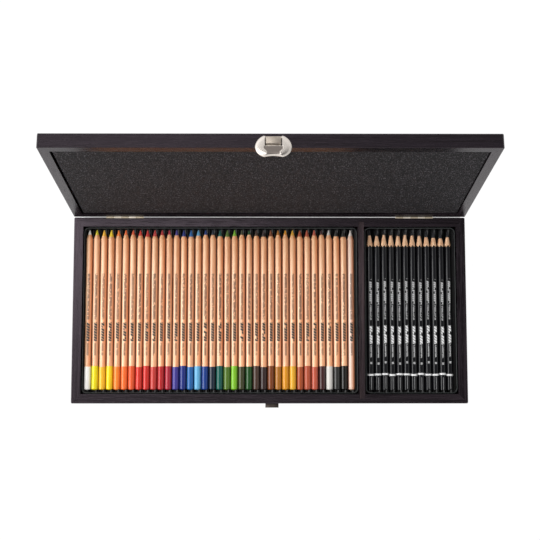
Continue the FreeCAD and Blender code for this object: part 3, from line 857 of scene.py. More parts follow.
def graphite_finish(first_x, axis_z, pitch, foot_y, slope):
    """Black lacquer, bare cone, grey lead, white ring, pale print and a painted highlight line."""
    black = Finish("black_lacquered_pencil")
    spot = black.parts(black.place)
    number = ((spot["X"] - first_x) / pitch + 0.5).passed("FLOOR")
    off_x = spot["X"] - first_x - number * pitch
    off_z = spot["Z"] - axis_z
    along = spot["Y"]
    cone_radius = ACROSS_CORNERS / 2 - (along - foot_y) * slope
    flat_radius = to_flat(black, off_x, off_z, ACROSS_FLATS / 2).least(ACROSS_CORNERS / 2)
    start = black.started(0.0, (0.4, 0.2, 0.0))
    grain = black.noise(start, (900, 60, 900), 3.0, 0.6, 0.3)
    ragged = (grain - 0.5) * (0.12 * MM)
    bare = cone_radius < flat_radius - 0.03 * MM + ragged
    wood = black.mixed(black.between(grain, 0.34, 0.7), CONE_PALE, CONE_WARM)
    uneven = (number * 2.1).passed("SINE")
    lead_edge = along + (grain - 0.5) * MM + uneven * (0.7 * MM)
    is_lead = lead_edge + (number > LONG_LEADS_FROM) * LONG_LEAD > GRAPHITE_LEAD_Y
    tip = black.mixed(is_lead, wood, LEAD_GREY)
    across = off_x / (ACROSS_FLATS / 2) * PRINT_NARROWING
    # The marks hold print and, in the last zone, a painted highlight line.
    marks = zone_marks(black, GRAPHITE_PRINT_AND_HIGHLIGHT, across, along + uneven * (0.8 * MM), PRINT_SEED)
    ring_y = along + (number * 2.3 + 0.8).passed("SINE") * (0.6 * MM)
    ring = (ring_y > RING_FROM_Y) * (ring_y < RING_TO_Y)
    coat = black.mixed(marks * (off_z > 0) * 0.8, LACQUER_BLACK, RING_PRINT_AND_HIGHLIGHT_WHITE)
    coat = black.mixed(ring, coat, RING_PRINT_AND_HIGHLIGHT_WHITE)
    black.bumped(grain * bare, 0.03 * MM, 0.5)
    return black.set(base_color=black.mixed(bare, coat, tip),
                     roughness=0.2 + 0.28 * bare - 0.12 * is_lead, metallic=0.35 * is_lead)


def lay_graphite_pencils():
    """Twelve six-sided pencils in one piece, as the model holds them."""
    low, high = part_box("graphite_pencils")
    pitch = (high.x - low.x - ACROSS_CORNERS) / (GRAPHITE_COUNT - 1)
    first_x, axis_z = low.x + ACROSS_CORNERS / 2, (low.z + high.z) / 2
    outline = pencil_outline(high.y - low.y, ACROSS_CORNERS / 2, GRAPHITE_POINT, GRAPHITE_TIP,
                             GRAPHITE_END_ROUND, GRAPHITE_CONE_STEPS)
    line = station_line("six_sided_outline", outline)
    slope = (ACROSS_CORNERS / 2 - GRAPHITE_TIP) / (GRAPHITE_POINT - GRAPHITE_TIP)
    finish = graphite_finish(first_x, axis_z, pitch, high.y - GRAPHITE_POINT, slope)
    one = grown(PENCIL_TREE, PENCIL_INPUTS, line, "one_graphite_pencil",
                Segments=GRAPHITE_SEGMENTS, Half_across_flats=ACROSS_FLATS / 2,
                Place=(0, low.y, axis_z), Finish=finish)
    row = grown(ROW_TREE, ROW_INPUTS, one, "smooth_graphite_pencils", Count=GRAPHITE_COUNT,
                First=(first_x, 0, 0), Step=(pitch, 0, 0), Finish=finish)
    bpy.data.objects.remove(line)
    bpy.data.objects.remove(one)
    return fitted(row, finish, "graphite_pencils", "black_lacquer", "graphite_pencils",
                  edge_degrees=PENCIL_EDGE_DEGREES)


print("graphite pencils, triangles:", triangles(lay_graphite_pencils()))

# %% [markdown]
# ## The formed trays
# Each tray is one thin sheet, drawn down over a mould: a leaning skirt, a rounded lip, a
# pocket, and a bed with a groove for each pencil. The skirt, lip and pocket wall are one
# closed profile carried round a rectangle with round corners. The bed is a row of arcs with
# the sheet's thickness. Both are worked out from the pencils that lie in the tray.

# %% Trays
SHEET = 0.8 * MM
LIP_WIDTH = 0.9 * MM
LIP_STEPS = 8
TRAY_CORNER = 6.0 * MM
TRAY_DRAFT = 0.5 * MM
TRAY_EDGE_DEGREES = 32
GROOVE_RADIUS = 3.95 * MM
GROOVE_DEPTH = 3.0 * MM
BED_LAP = 0.3 * MM
ARC_STEPS = 10


def round_rectangle(low, high, inset, radius, z):
    """The corners of a level rectangle with round corners."""
    near_x, far_x = low.x + inset + radius, high.x - inset - radius
    near_y, far_y = low.y + inset + radius, high.y - inset - radius
    ring = []
    for quarter, (x, y) in enumerate(((far_x, far_y), (near_x, far_y), (near_x, near_y),
                                      (far_x, near_y))):
        for step in range(ARC_STEPS + 1):
            angle = math.pi / 2 * (quarter + step / ARC_STEPS)
            ring.append((x + radius * math.cos(angle), y + radius * math.sin(angle), z))
    return ring


def carried_round(name, profile, low, high, radius):
    """A closed profile of (inset, height) carried round a rectangle."""
    vertices = []
    for inset, z in profile:
        vertices += round_rectangle(low, high, inset, max(radius - inset, MM), z)
    rows = len(profile)
    spans = [(row, (row + 1) % rows) for row in range(rows)]
    return new_object(name, vertices, woven(len(vertices) // rows, spans))


def groove_line(axes, axis_z, radius, level, x0, x1):
    """The (x, z) points of a row of grooves at one side of the sheet."""
    half_open = math.acos(min(1.0, (axis_z - level) / radius))
    half_pitch = (axes[1] - axes[0]) / 2
    points = [(x0, level)]
    for axis in axes:
        for step in range(ARC_STEPS + 1):
            angle = half_open * (2 * step / ARC_STEPS - 1)
            x = radius * math.sin(angle)
            if abs(x) < half_pitch:
                points.append((axis + x, axis_z - radius * math.cos(angle)))
    points.append((x1, level))
    return points


def bed(name, axes, axis_z, ridge_z, low, high, inset):
    """The grooved sheet: an upper and a lower line, sampled alike and joined."""
    x0, x1 = low.x + inset, high.x - inset
    upper = groove_line(axes, axis_z, GROOVE_RADIUS, ridge_z, x0, x1)
    lower = groove_line(axes, axis_z, GROOVE_RADIUS + SHEET, ridge_z - SHEET, x0, x1)
    xs = sorted({round(x, 7) for x, z in upper + lower})
    tops = np.interp(xs, [x for x, z in upper], [z for x, z in upper])
    feet = np.interp(xs, [x for x, z in lower], [z for x, z in lower])
    vertices = []
    for y in (low.y + inset, high.y - inset):
        vertices += [(x, y, z) for x, z in zip(xs, tops)]
        vertices += [(x, y, z) for x, z in zip(xs, feet)]
    count, faces = len(xs), []
    for index in range(count - 1):
        near_top, near_foot, far_top, far_foot = (index + row * count for row in range(4))
        faces.append((near_top, near_top + 1, far_top + 1, far_top))
        faces.append((near_foot, near_foot + 1, far_foot + 1, far_foot))
        faces.append((near_top, near_top + 1, near_foot + 1, near_foot))
        faces.append((far_top, far_top + 1, far_foot + 1, far_foot))
    for index in (0, count - 1):
        faces.append((index, index + count, index + 3 * count, index + 2 * count))
    return new_object(name, vertices, faces)


def form_tray(node, axes, axis_z):
    """The skirt, lip and wall as one ring, with the grooved bed let into it."""
    low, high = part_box(node)
    ridge_z = axis_z - GROOVE_RADIUS + GROOVE_DEPTH
    half_lip = LIP_WIDTH / 2
    inner = TRAY_DRAFT + LIP_WIDTH
    profile = [(0, low.z), (TRAY_DRAFT, high.z - half_lip)]
    for step in range(1, LIP_STEPS):
        angle = math.pi * step / LIP_STEPS
        profile.append((TRAY_DRAFT + half_lip * (1 - math.cos(angle)),
                        high.z - half_lip * (1 - math.sin(angle))))
    profile += [(inner, high.z - half_lip), (inner, ridge_z - SHEET), (SHEET, low.z)]
    ring = carried_round(node + "_ring", profile, low, high, TRAY_CORNER)
    sheet = bed(node + "_bed", axes, axis_z, ridge_z, low, high, inner - BED_LAP)
    made = gathered("formed_" + node, [ring, sheet])
    return fitted(made, tray_finish, node, "tray_plastic", node, edge_degrees=TRAY_EDGE_DEGREES)


round_boxes = [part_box(node) for node in sorted(frame["nodes"]) if node.startswith("pencil_")]
round_axes = [(low.x + high.x) / 2 for low, high in round_boxes]
pencil_axis_z = (round_boxes[0][0].z + round_boxes[0][1].z) / 2
graphite_low, graphite_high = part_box("graphite_pencils")
graphite_axes = np.linspace(graphite_low.x + ACROSS_CORNERS / 2,
                            graphite_high.x - ACROSS_CORNERS / 2, GRAPHITE_COUNT).tolist()
for node, axes in (("left_tray", round_axes), ("right_tray", graphite_axes)):
    print(node, "triangles:", triangles(form_tray(node, axes, pencil_axis_z)))

# %% [markdown]
# ## The foam in the lid
# A soft sheet lines the lid. It was cut with a blade, so its faces are flat and its edges
# nearly square, but foam never lies quite flat: its edges roll over a little and its face
# swells by a hair between them. A fine grid carries that swell, drawn with the lid shut and
# then swung up with it.

# %% Foam pad
FOAM_EDGE = 1.4 * MM
FOAM_CROWN = 0.35 * MM
FOAM_EDGE_DEGREES = 60
FOAM_COLUMNS = 120
FOAM_ROWS = 56


def spread(count):
    """Shares from 0 to 1 that lie closer together near both ends."""
    return [0.5 - 0.5 * math.cos(math.pi * index / count) for index in range(count + 1)]


def pad_of_foam():
    """A thin pad whose open face is slightly crowned and rolls over at its edges."""
    corners = [swing.inverted() @ Vector(corner.co)
               for corner in frame["nodes"]["lid_foam_pad"].data.vertices]
    low = Vector([min(corner[axis] for corner in corners) for axis in range(3)])
    high = Vector([max(corner[axis] for corner in corners) for axis in range(3)])
    vertices = []
    for v in spread(FOAM_ROWS):
        for u in spread(FOAM_COLUMNS):
            x, y = low.x + (high.x - low.x) * u, low.y + (high.y - low.y) * v
            edge = min(x - low.x, high.x - x, y - low.y, high.y - y)
            roll = max(0.0, 1 - edge / FOAM_EDGE)
            inside = 0 < u < 1 and 0 < v < 1
            swell = math.sin(math.pi * u) ** 0.5 * math.sin(math.pi * v) ** 0.5 if inside else 0
            z = low.z + FOAM_CROWN * (1 - swell) + FOAM_EDGE * (1 - math.sqrt(1 - roll ** 2))
            vertices.append((x, y, z))
    wide = FOAM_COLUMNS + 1
    faces = woven(wide, [(row, row + 1) for row in range(FOAM_ROWS)], closed=False)
    rim = list(range(wide)) + [row * wide + FOAM_COLUMNS for row in range(1, FOAM_ROWS + 1)]
    rim += [FOAM_ROWS * wide + column for column in range(FOAM_COLUMNS - 1, -1, -1)]
    rim += [row * wide for row in range(FOAM_ROWS - 1, 0, -1)]
    base = len(vertices)
    vertices += [(vertices[index][0], vertices[index][1], high.z) for index in rim]
    for step in range(len(rim)):
        following = (step + 1) % len(rim)
        faces.append((rim[step], rim[following], base + following, base + step))
    faces.append(tuple(range(base, base + len(rim))))
    pad = moved(new_object("lid_foam_sheet", vertices, faces), swing)
    fitted(pad, foam_finish, "lid", "foam", "lid_foam_pad", edge_degrees=FOAM_EDGE_DEGREES)
    return pad


print("foam pad, triangles:", triangles(pad_of_foam()))

# %% [markdown]
# ## Metalwork helpers
# The small metal parts are of three kinds. Strip is bent along a line and carried along X.
# Turned parts are a profile spun about an axis. Plates are boxes with eased edges. All are
# drawn with the lid shut and swung up afterwards where they belong to the lid.

# %% Strip, turned parts and plates
STRIP_EASE = 0.1 * MM


def softened(points, radius, steps=5):
    """The line with each inner corner replaced by a short curve."""
    line = [Vector(points[0])]
    for before, corner, after in zip(points, points[1:], points[2:]):
        corner = Vector(corner)
        near = corner + (Vector(before) - corner).normalized() * radius
        far = corner + (Vector(after) - corner).normalized() * radius
        for step in range(steps + 1):
            share = step / steps
            line.append(near * (1 - share) ** 2 + corner * 2 * share * (1 - share)
                        + far * share ** 2)
    return line + [Vector(points[-1])]


def strip(name, line, thickness, x0, x1):
    """A strip carried along X, bent along a line of (y, z) points."""
    sides = []
    for index, point in enumerate(line):
        ahead = line[min(index + 1, len(line) - 1)] - line[max(index - 1, 0)]
        aside = Vector((-ahead.y, ahead.x)).normalized() * thickness / 2
        sides.append((point + aside, point - aside))
    vertices = [(x, *point) for x in (x0, x1) for pair in sides for point in pair]
    far = 2 * len(sides)
    faces = [(0, 1, far + 1, far), (far - 2, far - 1, 2 * far - 1, 2 * far - 2)]
    for index in range(0, far - 2, 2):
        faces.append((index, index + 2, far + index + 2, far + index))
        faces.append((index + 1, index + 3, far + index + 3, far + index + 1))
        faces += [tuple(start + index + step for step in (0, 1, 3, 2)) for start in (0, far)]
    return rounded_edges(new_object(name, vertices, faces), STRIP_EASE)


def turned(name, profile, place, toward, segments=32):
    """A turned part: a profile of (distance, radius) from a place toward a direction."""
    aim = Vector((0, 0, 1)).rotation_difference(Vector(toward)).to_matrix()
    vertices = []
    for along, radius in profile:
        for index in range(segments):
            angle = 2 * math.pi * index / segments
            spoke = Vector((radius * math.cos(angle), radius * math.sin(angle), along))
            vertices.append(Vector(place) + aim @ spoke)
    faces = woven(segments, [(row, row + 1) for row in range(len(profile) - 1)])
    faces += [tuple(range(segments)), tuple(range(len(vertices) - segments, len(vertices)))]
    return new_object(name, vertices, faces)


def rod(name, place, length, radius, ease):
    """A rod along X with eased ends."""
    profile = [(0, radius - ease), (ease, radius), (length - ease, radius), (length, radius - ease)]
    return turned(name, profile, place, (1, 0, 0))


def plate_box(name, x0, x1, y0, y1, z0, z1, ease):
    """A box with eased edges."""
    corners = [(x, y, z) for x in (x0, x1) for y in (y0, y1) for z in (z0, z1)]
    faces = [(0, 1, 3, 2), (4, 5, 7, 6), (0, 1, 5, 4), (2, 3, 7, 6), (0, 2, 6, 4), (1, 3, 7, 5)]
    return rounded_edges(new_object(name, corners, faces), ease)


front_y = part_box("base_front_rail")[0].y
back_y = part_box("base_back_rail")[1].y
rim_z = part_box("base_front_rail")[1].z
flap_hinge = joints["clasp_flap_hinge"]
closed_pin = swing.inverted() @ Vector(flap_hinge["pos_m"])
rest_angle = math.radians(abs(flap_hinge["range_deg"][0]))
flap_place = (swing @ Matrix.Translation(closed_pin) @ Matrix.Rotation(-rest_angle, 4, "X")
              @ Matrix.Translation(-closed_pin))
print("clasp pin, lid shut:", [round(value / MM, 2) for value in closed_pin])

# %% [markdown]
# ## The clasp
# The flap is pressed from thin plate: an oval dome with a window at its top and a sunk pan in
# its middle. Its outline is five arcs and a straight top. Rings of that outline shrink toward
# the middle while they rise, which gives the dome, and a second set inside gives the plate
# its thickness. The pan is a shallow step in the same rings. The bridge plate shows through
# the window, with its foot, its raised face and the roll that holds the pin.

# %% The outline of the flap
CLASP_X = 2.5 * MM
FLAP_TOP, FLAP_SHOULDER, FLAP_WIDEST = (9.2, 10.3), (14.4, 6.2), (17.1, -0.8)
FLAP_HIP, FLAP_FOOT, FLAP_NOTCH = (14.6, -7.0), (8.1, -11.0), (0.0, -9.9)
ARC_POINTS = 32
TOP_POINTS = 16


def mirrored(points):
    """The points on the other side of the clasp's middle, in the opposite order."""
    return [(-x, z) for x, z in reversed(points)]


def arc_points(first, middle, last, steps):
    """Points of the arc through three points, without the last one."""
    a, b, c = complex(*first), complex(*middle), complex(*last)
    ratio = (c - a) / (b - a)
    centre = (b - a) * (ratio - abs(ratio) ** 2) / (2j * ratio.imag) + a
    spoke = (c - centre) / (a - centre)
    sweep = math.atan2(spoke.imag, spoke.real)
    found = []
    for step in range(steps):
        angle = sweep * step / steps
        found.append(centre + (a - centre) * complex(math.cos(angle), math.sin(angle)))
    return [(point.real, point.imag) for point in found]


def flap_outline():
    """Points (x, z) round the flap, in millimetres from the rim at the clasp's middle."""
    right = [[FLAP_TOP, FLAP_SHOULDER, FLAP_WIDEST], [FLAP_WIDEST, FLAP_HIP, FLAP_FOOT]]
    notch = [FLAP_FOOT, FLAP_NOTCH, *mirrored([FLAP_FOOT])]
    outline = []
    for arc in (*right, notch, mirrored(right[1]), mirrored(right[0])):
        outline += arc_points(*arc, ARC_POINTS)
    half, up = FLAP_TOP
    return outline + [(-half + 2 * half * step / TOP_POINTS, up) for step in range(TOP_POINTS)]


print("points round the flap:", len(flap_outline()))


# %% The pressed flap
FLAP_SHEET = 0.7 * MM
FLAP_RIM_OUT = 3.2 * MM
FLAP_HEIGHT = 2.8 * MM
FLAP_MIDDLE = -0.35 * MM
FLAP_HALF = 16 * MM
FLAP_EDGE_DEGREES = 40
DOME_RINGS = 56
RING_CROWDING = 0.8
DOME_SQUARENESS = 8
DOME_FALL = 0.55
PAN_OUTLINE = [(-8.8, -0.8), (8.8, -0.8), (8.8, -3.4), (6.0, -6.4), (6.0, -9.1), (-6.0, -9.1),
               (-6.0, -6.4), (-8.8, -3.4)]
PAN_DEPTH = 0.5 * MM
PAN_EDGE = 0.45 * MM
WINDOW_HALF = 7.9 * MM
WINDOW_FOOT = -0.8 * MM
WINDOW_TOP = 14 * MM
WINDOW_REACH = 12 * MM
WINDOW_EASE = 0.3 * MM
NICKEL_BRIGHT = (0.62, 0.57, 0.525)
# The pan's floor is painted this dark tone as shade.
PAN_PAINTED_SHADE = (0.18, 0.155, 0.14)


def sunk_share(u, w):
    """How far a point of the flap is sunk: 0 outside the pan, 1 on its floor."""
    inside, nearest = False, 1.0
    corners = [(x * MM, z * MM) for x, z in PAN_OUTLINE]
    for (x0, z0), (x1, z1) in zip(corners, corners[1:] + corners[:1]):
        if (z0 > w) != (z1 > w) and u < x0 + (w - z0) * (x1 - x0) / (z1 - z0):
            inside = not inside
        run = ((u - x0) * (x1 - x0) + (w - z0) * (z1 - z0)) / ((x1 - x0) ** 2 + (z1 - z0) ** 2)
        run = min(1.0, max(0.0, run))
        nearest = min(nearest, math.hypot(u - x0 - run * (x1 - x0), w - z0 - run * (z1 - z0)))
    share = min(1.0, nearest / PAN_EDGE) if inside else 0.0
    return share * share * (3 - 2 * share)


def flap_shell():
    """The pressed flap with its window, drawn shut."""
    outline = flap_outline()
    shares = [math.cos(math.pi / 2 * (ring / DOME_RINGS) ** RING_CROWDING)
              for ring in range(DOME_RINGS + 1)]
    vertices = []
    for sheet in (0.0, FLAP_SHEET):
        for share in shares if sheet == 0 else reversed(shares):
            shrunk = share * (1 - sheet / FLAP_HALF)
            out = FLAP_RIM_OUT + FLAP_HEIGHT * (1 - share ** DOME_SQUARENESS) ** DOME_FALL - sheet
            for x, z in outline:
                u, w = x * MM * shrunk, FLAP_MIDDLE + (z * MM - FLAP_MIDDLE) * shrunk
                depth = PAN_DEPTH * sunk_share(u, w)
                vertices.append((CLASP_X + u, front_y - out + depth, rim_z + w))
    rows = 2 * (DOME_RINGS + 1)
    spans = [(row, (row + 1) % rows) for row in range(rows) if row != DOME_RINGS]
    shell = new_object("clasp_flap_shell", vertices, woven(len(outline), spans))
    window = plate_box("window", CLASP_X - WINDOW_HALF, CLASP_X + WINDOW_HALF,
                       front_y - WINDOW_REACH, front_y + MM, rim_z + WINDOW_FOOT,
                       rim_z + WINDOW_TOP, WINDOW_EASE)
    return cut(shell, window)


def flap_finish():
    """Bright nickel, with the pan's floor painted dark as shade, and rougher."""
    plate, cloud = brushed_plate("nickel_flap")
    sunk = plate.node("ShaderNodeAttribute", {"attribute_name": "sunk"})["Fac"]
    # Painted shade: the sunk pan is painted dark.
    return plate.set(base_color=plate.mixed(sunk, NICKEL_BRIGHT, PAN_PAINTED_SHADE),
                     metallic=1.0, roughness=0.24 + 0.14 * sunk + 0.06 * cloud)


print("rings of the dome:", DOME_RINGS + 1)


# %% The flap and its ears
PLATE_HALF = 7.1 * MM
EAR_GAP = 0.2 * MM
EAR_WIDTH = 1.2 * MM
EAR_OUT = 4.4 * MM
EAR_BELOW = 1.1 * MM
EAR_ABOVE = 0.55 * MM
BOSS_RADIUS = 1.15 * MM
EAR_EASE = 0.1 * MM


def make_flap():
    """The flap with its two ears round the pin."""
    pin_y, pin_z = closed_pin.y, closed_pin.z
    parts = [flap_shell()]
    for side in (-1, 1):
        near = CLASP_X + side * (PLATE_HALF + EAR_GAP)
        x0 = min(near, near + side * EAR_WIDTH)
        parts.append(rod("boss", (x0, pin_y, pin_z), EAR_WIDTH, BOSS_RADIUS, EAR_EASE))
        parts.append(plate_box("ear", x0, x0 + EAR_WIDTH, front_y - EAR_OUT, pin_y,
                               pin_z - EAR_BELOW, pin_z + EAR_ABOVE, EAR_EASE))
    flap = gathered("smooth_clasp_flap", parts)
    sunk = flap.data.attributes.new("sunk", "FLOAT", "POINT")
    sunk.data.foreach_set("value", [sunk_share(corner.co.x - CLASP_X, corner.co.z - rim_z)
                                    for corner in flap.data.vertices])
    moved(flap, flap_place)
    return fitted(flap, flap_finish(), "clasp_flap", "nickel", "clasp_flap",
                  edge_degrees=FLAP_EDGE_DEGREES)


print("flap, triangles:", triangles(make_flap()))

# %% [markdown]
# ## Plate and catch
# Both are bent strip. Their lines are given as places on the case's front, each so far out
# from it and so far up from the rim, and every bend is softened. The plate's line ends in a
# half turn round the pin.

# %% Plate and catch
PLATE_SHEET = 0.6 * MM
PLATE_LINE = ((0.3, 1.6), (0.3, 3.3), (3.5, 3.3), (3.5, 8.4))
PLATE_BEND = 0.5 * MM
ROLL_RADIUS = 0.9 * MM
ROLL_STEPS = 12
ROLL_END_OUT = 0.1 * MM
ROLL_END_DROP = 0.3 * MM
CATCH_SHEET = 1.0 * MM
CATCH_LINE = ((0.5, -15.2), (0.5, -6.7), (4.0, -6.7), (4.0, -5.6))
CATCH_BEND = 0.6 * MM


def front_line(places, bend):
    """A softened line of (y, z) points from places (out, up) in millimetres."""
    return softened([(front_y - out * MM, rim_z + up * MM) for out, up in places], bend)


def make_plate():
    """The bridge plate: foot, riser, face and the roll round the pin."""
    line = front_line(PLATE_LINE, PLATE_BEND)
    for step in range(1, ROLL_STEPS + 1):
        angle = math.pi * step / ROLL_STEPS
        line.append(Vector((closed_pin.y - ROLL_RADIUS * math.cos(angle),
                            closed_pin.z + ROLL_RADIUS * math.sin(angle))))
    line.append(Vector((front_y - ROLL_END_OUT, closed_pin.z - ROLL_END_DROP)))
    made = strip("bridge_plate", line, PLATE_SHEET, CLASP_X - PLATE_HALF, CLASP_X + PLATE_HALF)
    return fitted(moved(made, swing), plain_nickel, "lid", "nickel", "clasp_plate")


def make_catch():
    """The catch: a plate on the base's front, a tongue and a turned-up tip."""
    made = strip("smooth_catch", front_line(CATCH_LINE, CATCH_BEND), CATCH_SHEET,
                 CLASP_X - PLATE_HALF, CLASP_X + PLATE_HALF)
    return fitted(made, dark_steel, "base", "catch_steel", "clasp_catch")


for made in (make_plate(), make_catch()):
    print(made.name, "triangles:", triangles(made))

# %% [markdown]
# ## Hinges, screws and nails
# Each hinge has two leaves with knuckles that share one pin. The screws have a countersunk
# head with a cross recess. One screw and one nail are made, and the row tree repeats them.

# %% Hinges
HINGE_LENGTH = 40 * MM
KNUCKLES = 5
KNUCKLE_RADIUS = 1.5 * MM
KNUCKLE_GAP = 0.2 * MM
LEAF_SHEET = 0.7 * MM
LEAF_START = 1.8 * MM
LEAF_HEIGHT = 11 * MM
LEAF_EASE = 0.15 * MM
NECK_REACH = 2.2 * MM
NECK_INSET = 0.02 * MM
NECK_EASE = 0.05 * MM
PIN_HEAD = 0.5 * MM
PIN_EASE = 0.2 * MM
hinge_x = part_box("hinge_pins")[1].x - HINGE_LENGTH / 2 - PIN_HEAD
line_y, line_z = hinge_line.y, hinge_line.z


def leaves(name, own):
    """Both leaves of the base (own is 0) or of the lid (own is 1), drawn shut."""
    side = 2 * own - 1
    pitch = HINGE_LENGTH / KNUCKLES
    parts = []
    for centre in (-hinge_x, hinge_x):
        start = centre - HINGE_LENGTH / 2
        near, far = sorted((line_z + side * LEAF_START, line_z + side * LEAF_HEIGHT))
        parts.append(plate_box("leaf", start, start + HINGE_LENGTH, back_y, back_y + LEAF_SHEET,
                               near, far, LEAF_EASE))
        for index in range(own, KNUCKLES, 2):
            x0 = start + index * pitch + KNUCKLE_GAP / 2
            parts.append(rod("knuckle", (x0, line_y, line_z), pitch - KNUCKLE_GAP, KNUCKLE_RADIUS,
                             LEAF_EASE))
            near, far = sorted((line_z, line_z + side * NECK_REACH))
            parts.append(plate_box("neck", x0, x0 + pitch - KNUCKLE_GAP, back_y + NECK_INSET,
                                   back_y + LEAF_SHEET - NECK_INSET, near, far, NECK_EASE))
    return gathered(name, parts)


def pins():
    """The two pins: a thin head shows at each end of the barrel."""
    heads = []
    for centre in (-hinge_x, hinge_x):
        for x0 in (centre - HINGE_LENGTH / 2 - PIN_HEAD, centre + HINGE_LENGTH / 2):
            heads.append(rod("pin_head", (x0, line_y, line_z), PIN_HEAD, KNUCKLE_RADIUS, PIN_EASE))
    return gathered("smooth_hinge_pins", heads)


base_leaves = leaves("smooth_base_leaves", 0)
# Painted shade: the base's leaves get the darker brass, so alternate knuckles look dim.
fitted(base_leaves, brass, "base", "hinge_brass", "hinge_base_leaves")
lid_leaves = moved(leaves("smooth_lid_leaves", 1), swing)
fitted(lid_leaves, pale_brass, "lid", "hinge_brass", "hinge_lid_leaves")
fitted(pins(), pale_brass, "base", "hinge_brass", "hinge_pins")
print("leaves, triangles:", triangles(base_leaves), "and", triangles(lid_leaves))


# %% Screws and nails
SCREW_SPACING = 13 * MM
SCREW_DROP = 6.8 * MM
SCREW_PROFILE = ((-0.05, 1.3), (0, 1.62), (0.08, 1.7), (0.7, 1.0), (3.0, 1.0), (3.6, 0.2))
RECESS_ARMS = ((1.0, 0.22), (0.22, 1.0))
RECESS_DEPTH = 0.35 * MM
RECESS_PROUD = 0.5 * MM
RECESS_EASE = 0.03 * MM
NAIL_PROFILE = ((0, 0.25), (0.12, 0.6), (0.35, 0.85), (0.55, 0.9), (0.9, 0.4), (3.0, 0.4))
NAIL_PROUD = 0.5 * MM
NAIL_SEGMENTS = 24
CATCH_NAILS = (4.0, 1.0, -9.8)
PLATE_NAILS = (6.25, 0.6, 2.45)
FLAP_PIN_RADIUS = 0.6 * MM


def in_metres(profile):
    return [(along * MM, radius * MM) for along, radius in profile]


def one_screw():
    """A countersunk head at the origin that faces +Y, with a cross recess and a short shank."""
    head = turned("screw", in_metres(SCREW_PROFILE), (0, 0, 0), (0, -1, 0))
    for wide, high in RECESS_ARMS:
        cut(head, plate_box("recess", -wide * MM, wide * MM, -RECESS_DEPTH, RECESS_PROUD,
                            -high * MM, high * MM, RECESS_EASE))
    return head


def one_nail():
    """A small domed nail head at the origin that faces -Y."""
    return turned("nail", in_metres(NAIL_PROFILE), (0, -NAIL_PROUD, 0), (0, 1, 0), NAIL_SEGMENTS)


def in_row(source, name, count, first, step):
    """A row of copies. The source has served its turn and is removed."""
    row = grown(ROW_TREE, ROW_INPUTS, source, name, Count=count, First=first, Step=step,
                Finish=screw_plate)
    bpy.data.objects.remove(source)
    return row


def fasteners(name, side, nails):
    """Six hinge screws on one side of the hinge line, and two nails: half apart, out and up."""
    first = (-hinge_x - SCREW_SPACING, back_y + LEAF_SHEET, line_z + side * SCREW_DROP)
    three = in_row(one_screw(), "three_screws", 3, first, (SCREW_SPACING, 0, 0))
    six = in_row(three, "six_screws", 2, (0, 0, 0), (2 * hinge_x, 0, 0))
    half, out, up = (value * MM for value in nails)
    two = in_row(one_nail(), "two_nails", 2, (CLASP_X - half, front_y - out, rim_z + up),
                 (2 * half, 0, 0))
    return gathered(name, [six, two])


base_screws = fasteners("smooth_base_fasteners", -1, CATCH_NAILS)
fitted(base_screws, screw_plate, "base", "screw_steel", "base_fasteners")
pin_half = PLATE_HALF + EAR_GAP + EAR_WIDTH
flap_pin = rod("flap_pin", (CLASP_X - pin_half, closed_pin.y, closed_pin.z), 2 * pin_half,
               FLAP_PIN_RADIUS, EAR_EASE)
lid_screws = gathered("smooth_lid_fasteners", [fasteners("lid_screws", 1, PLATE_NAILS), flap_pin])
fitted(moved(lid_screws, swing), screw_plate, "lid", "screw_steel", "lid_fasteners")
print("fasteners, triangles:", triangles(base_screws), "and", triangles(lid_screws))

# %% [markdown]
# ## Light
# The light comes from the upper left. Every pencil is bright on its left side and warm and
# dark on its right, so one large lamp stands low on the left; that warm, dark right side is
# also painted into the cedar as shade. A second lamp hangs level above the left back corner,
# where the satin rails on the left and at the back mirror it and the others don't. The world
# is a tent: dark straight above, which keeps the black parts black, and white all round, so
# that a colour renders about as it is written.

# %% Lamps, world and floor
def lamp(name, place, target, size, radiance):
    """A square lamp that faces a target. Its power follows from size and radiance."""
    data = bpy.data.lights.new(name, "AREA")
    data.shape = "SQUARE"
    data.size = size
    data.energy = radiance * math.pi * size ** 2
    made = placed(name, data)
    made.location = place
    aim = Vector(target) - Vector(place)
    made.rotation_euler = aim.to_track_quat("-Z", "Y").to_euler()


lamp("left_lamp", (-1.15, -0.1, 0.95), (0, 0, 0), 1.0, 3.7)
lamp("high_left_lamp", (-0.36, 0.43, 1.5), (-0.36, 0.43, 0), 0.8, 3.1)


DARK_FROM = 0.6
DARK_FULL = 0.93


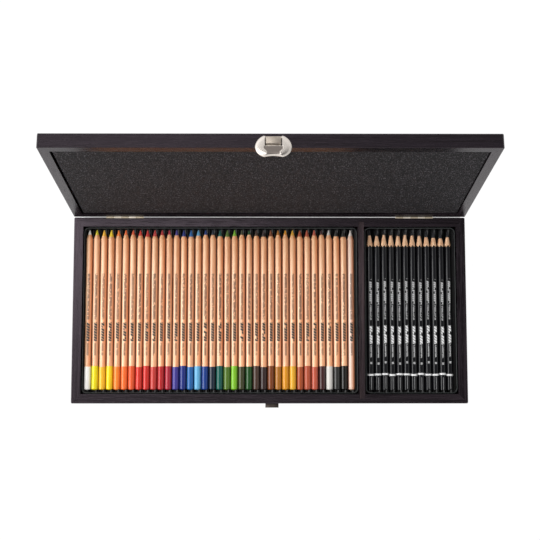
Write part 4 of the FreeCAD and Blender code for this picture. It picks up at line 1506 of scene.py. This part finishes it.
def white_tent(overhead, beside, lean):
    """A world that is dark overhead and white all round, and whiter on the left."""
    made = bpy.data.worlds.new("white_tent")
    made.use_nodes = True
    sky = Board(made.node_tree)
    toward = sky.parts(sky.node("ShaderNodeTexCoord")["Generated"])
    height = sky.between(toward["Z"], DARK_FROM, DARK_FULL)
    level = (beside + (overhead - beside) * height) * (1 - lean * toward["X"])
    seen = sky.node("ShaderNodeLightPath")["Is Camera Ray"]
    back = made.node_tree.nodes["Background"]
    back.inputs["Color"].default_value = (1.0, 1.0, 1.0, 1.0)
    strength = level + (1 - level) * seen
    made.node_tree.links.new(strength.socket, back.inputs["Strength"])
    return made


scene.world = white_tent(0.15, 1.35, 0.4)


FLOOR_HALF = 60.0
FLOOR_GLOW = 1.03
GLOW_SHARE = 0.95
SHADE_SHARE = 0.7
SHADE_HALF = 213 * MM
SHADE_DEPTH = 12 * MM


def pale_floor():
    """A white floor. To the camera and to mirrors it glows a little, less in a painted shade under
    the open lid, and it keeps the shadow.
    """
    material = bpy.data.materials.new("pale_floor")
    material.use_nodes = True
    ground = Board(material.node_tree)
    ground.tree.nodes.clear()
    path = ground.node("ShaderNodeLightPath")
    seen = path["Is Camera Ray"].most(path["Is Glossy Ray"]).most(path["Is Transmission Ray"])
    matt = ground.node("ShaderNodeBsdfDiffuse", None, {"Color": (0.85, 0.85, 0.85, 1.0)})
    glow = ground.node("ShaderNodeEmission", None, {"Color": (1, 1, 1, 1), "Strength": FLOOR_GLOW})
    spot = ground.parts(ground.node("ShaderNodeTexCoord")["Object"])
    # Painted shade: a strip of floor behind the case, under the open lid, glows less.
    shade = abs(spot["X"]) < SHADE_HALF
    shade = shade * (spot["Y"] > back_y) * (spot["Y"] < back_y + SHADE_DEPTH)
    glowing = seen * (GLOW_SHARE - SHADE_SHARE * shade)
    both = ground.node("ShaderNodeMixShader", None, {0: glowing, 1: matt[0], 2: glow[0]})
    ground.node("ShaderNodeOutputMaterial", None, {0: both[0]})
    half = FLOOR_HALF
    floor = new_object("floor", [(-half, -half, 0), (half, -half, 0), (half, half, 0),
                                 (-half, half, 0)], [(0, 1, 2, 3)])
    floor.data.materials.append(material)


pale_floor()
print("lamps, world and floor")
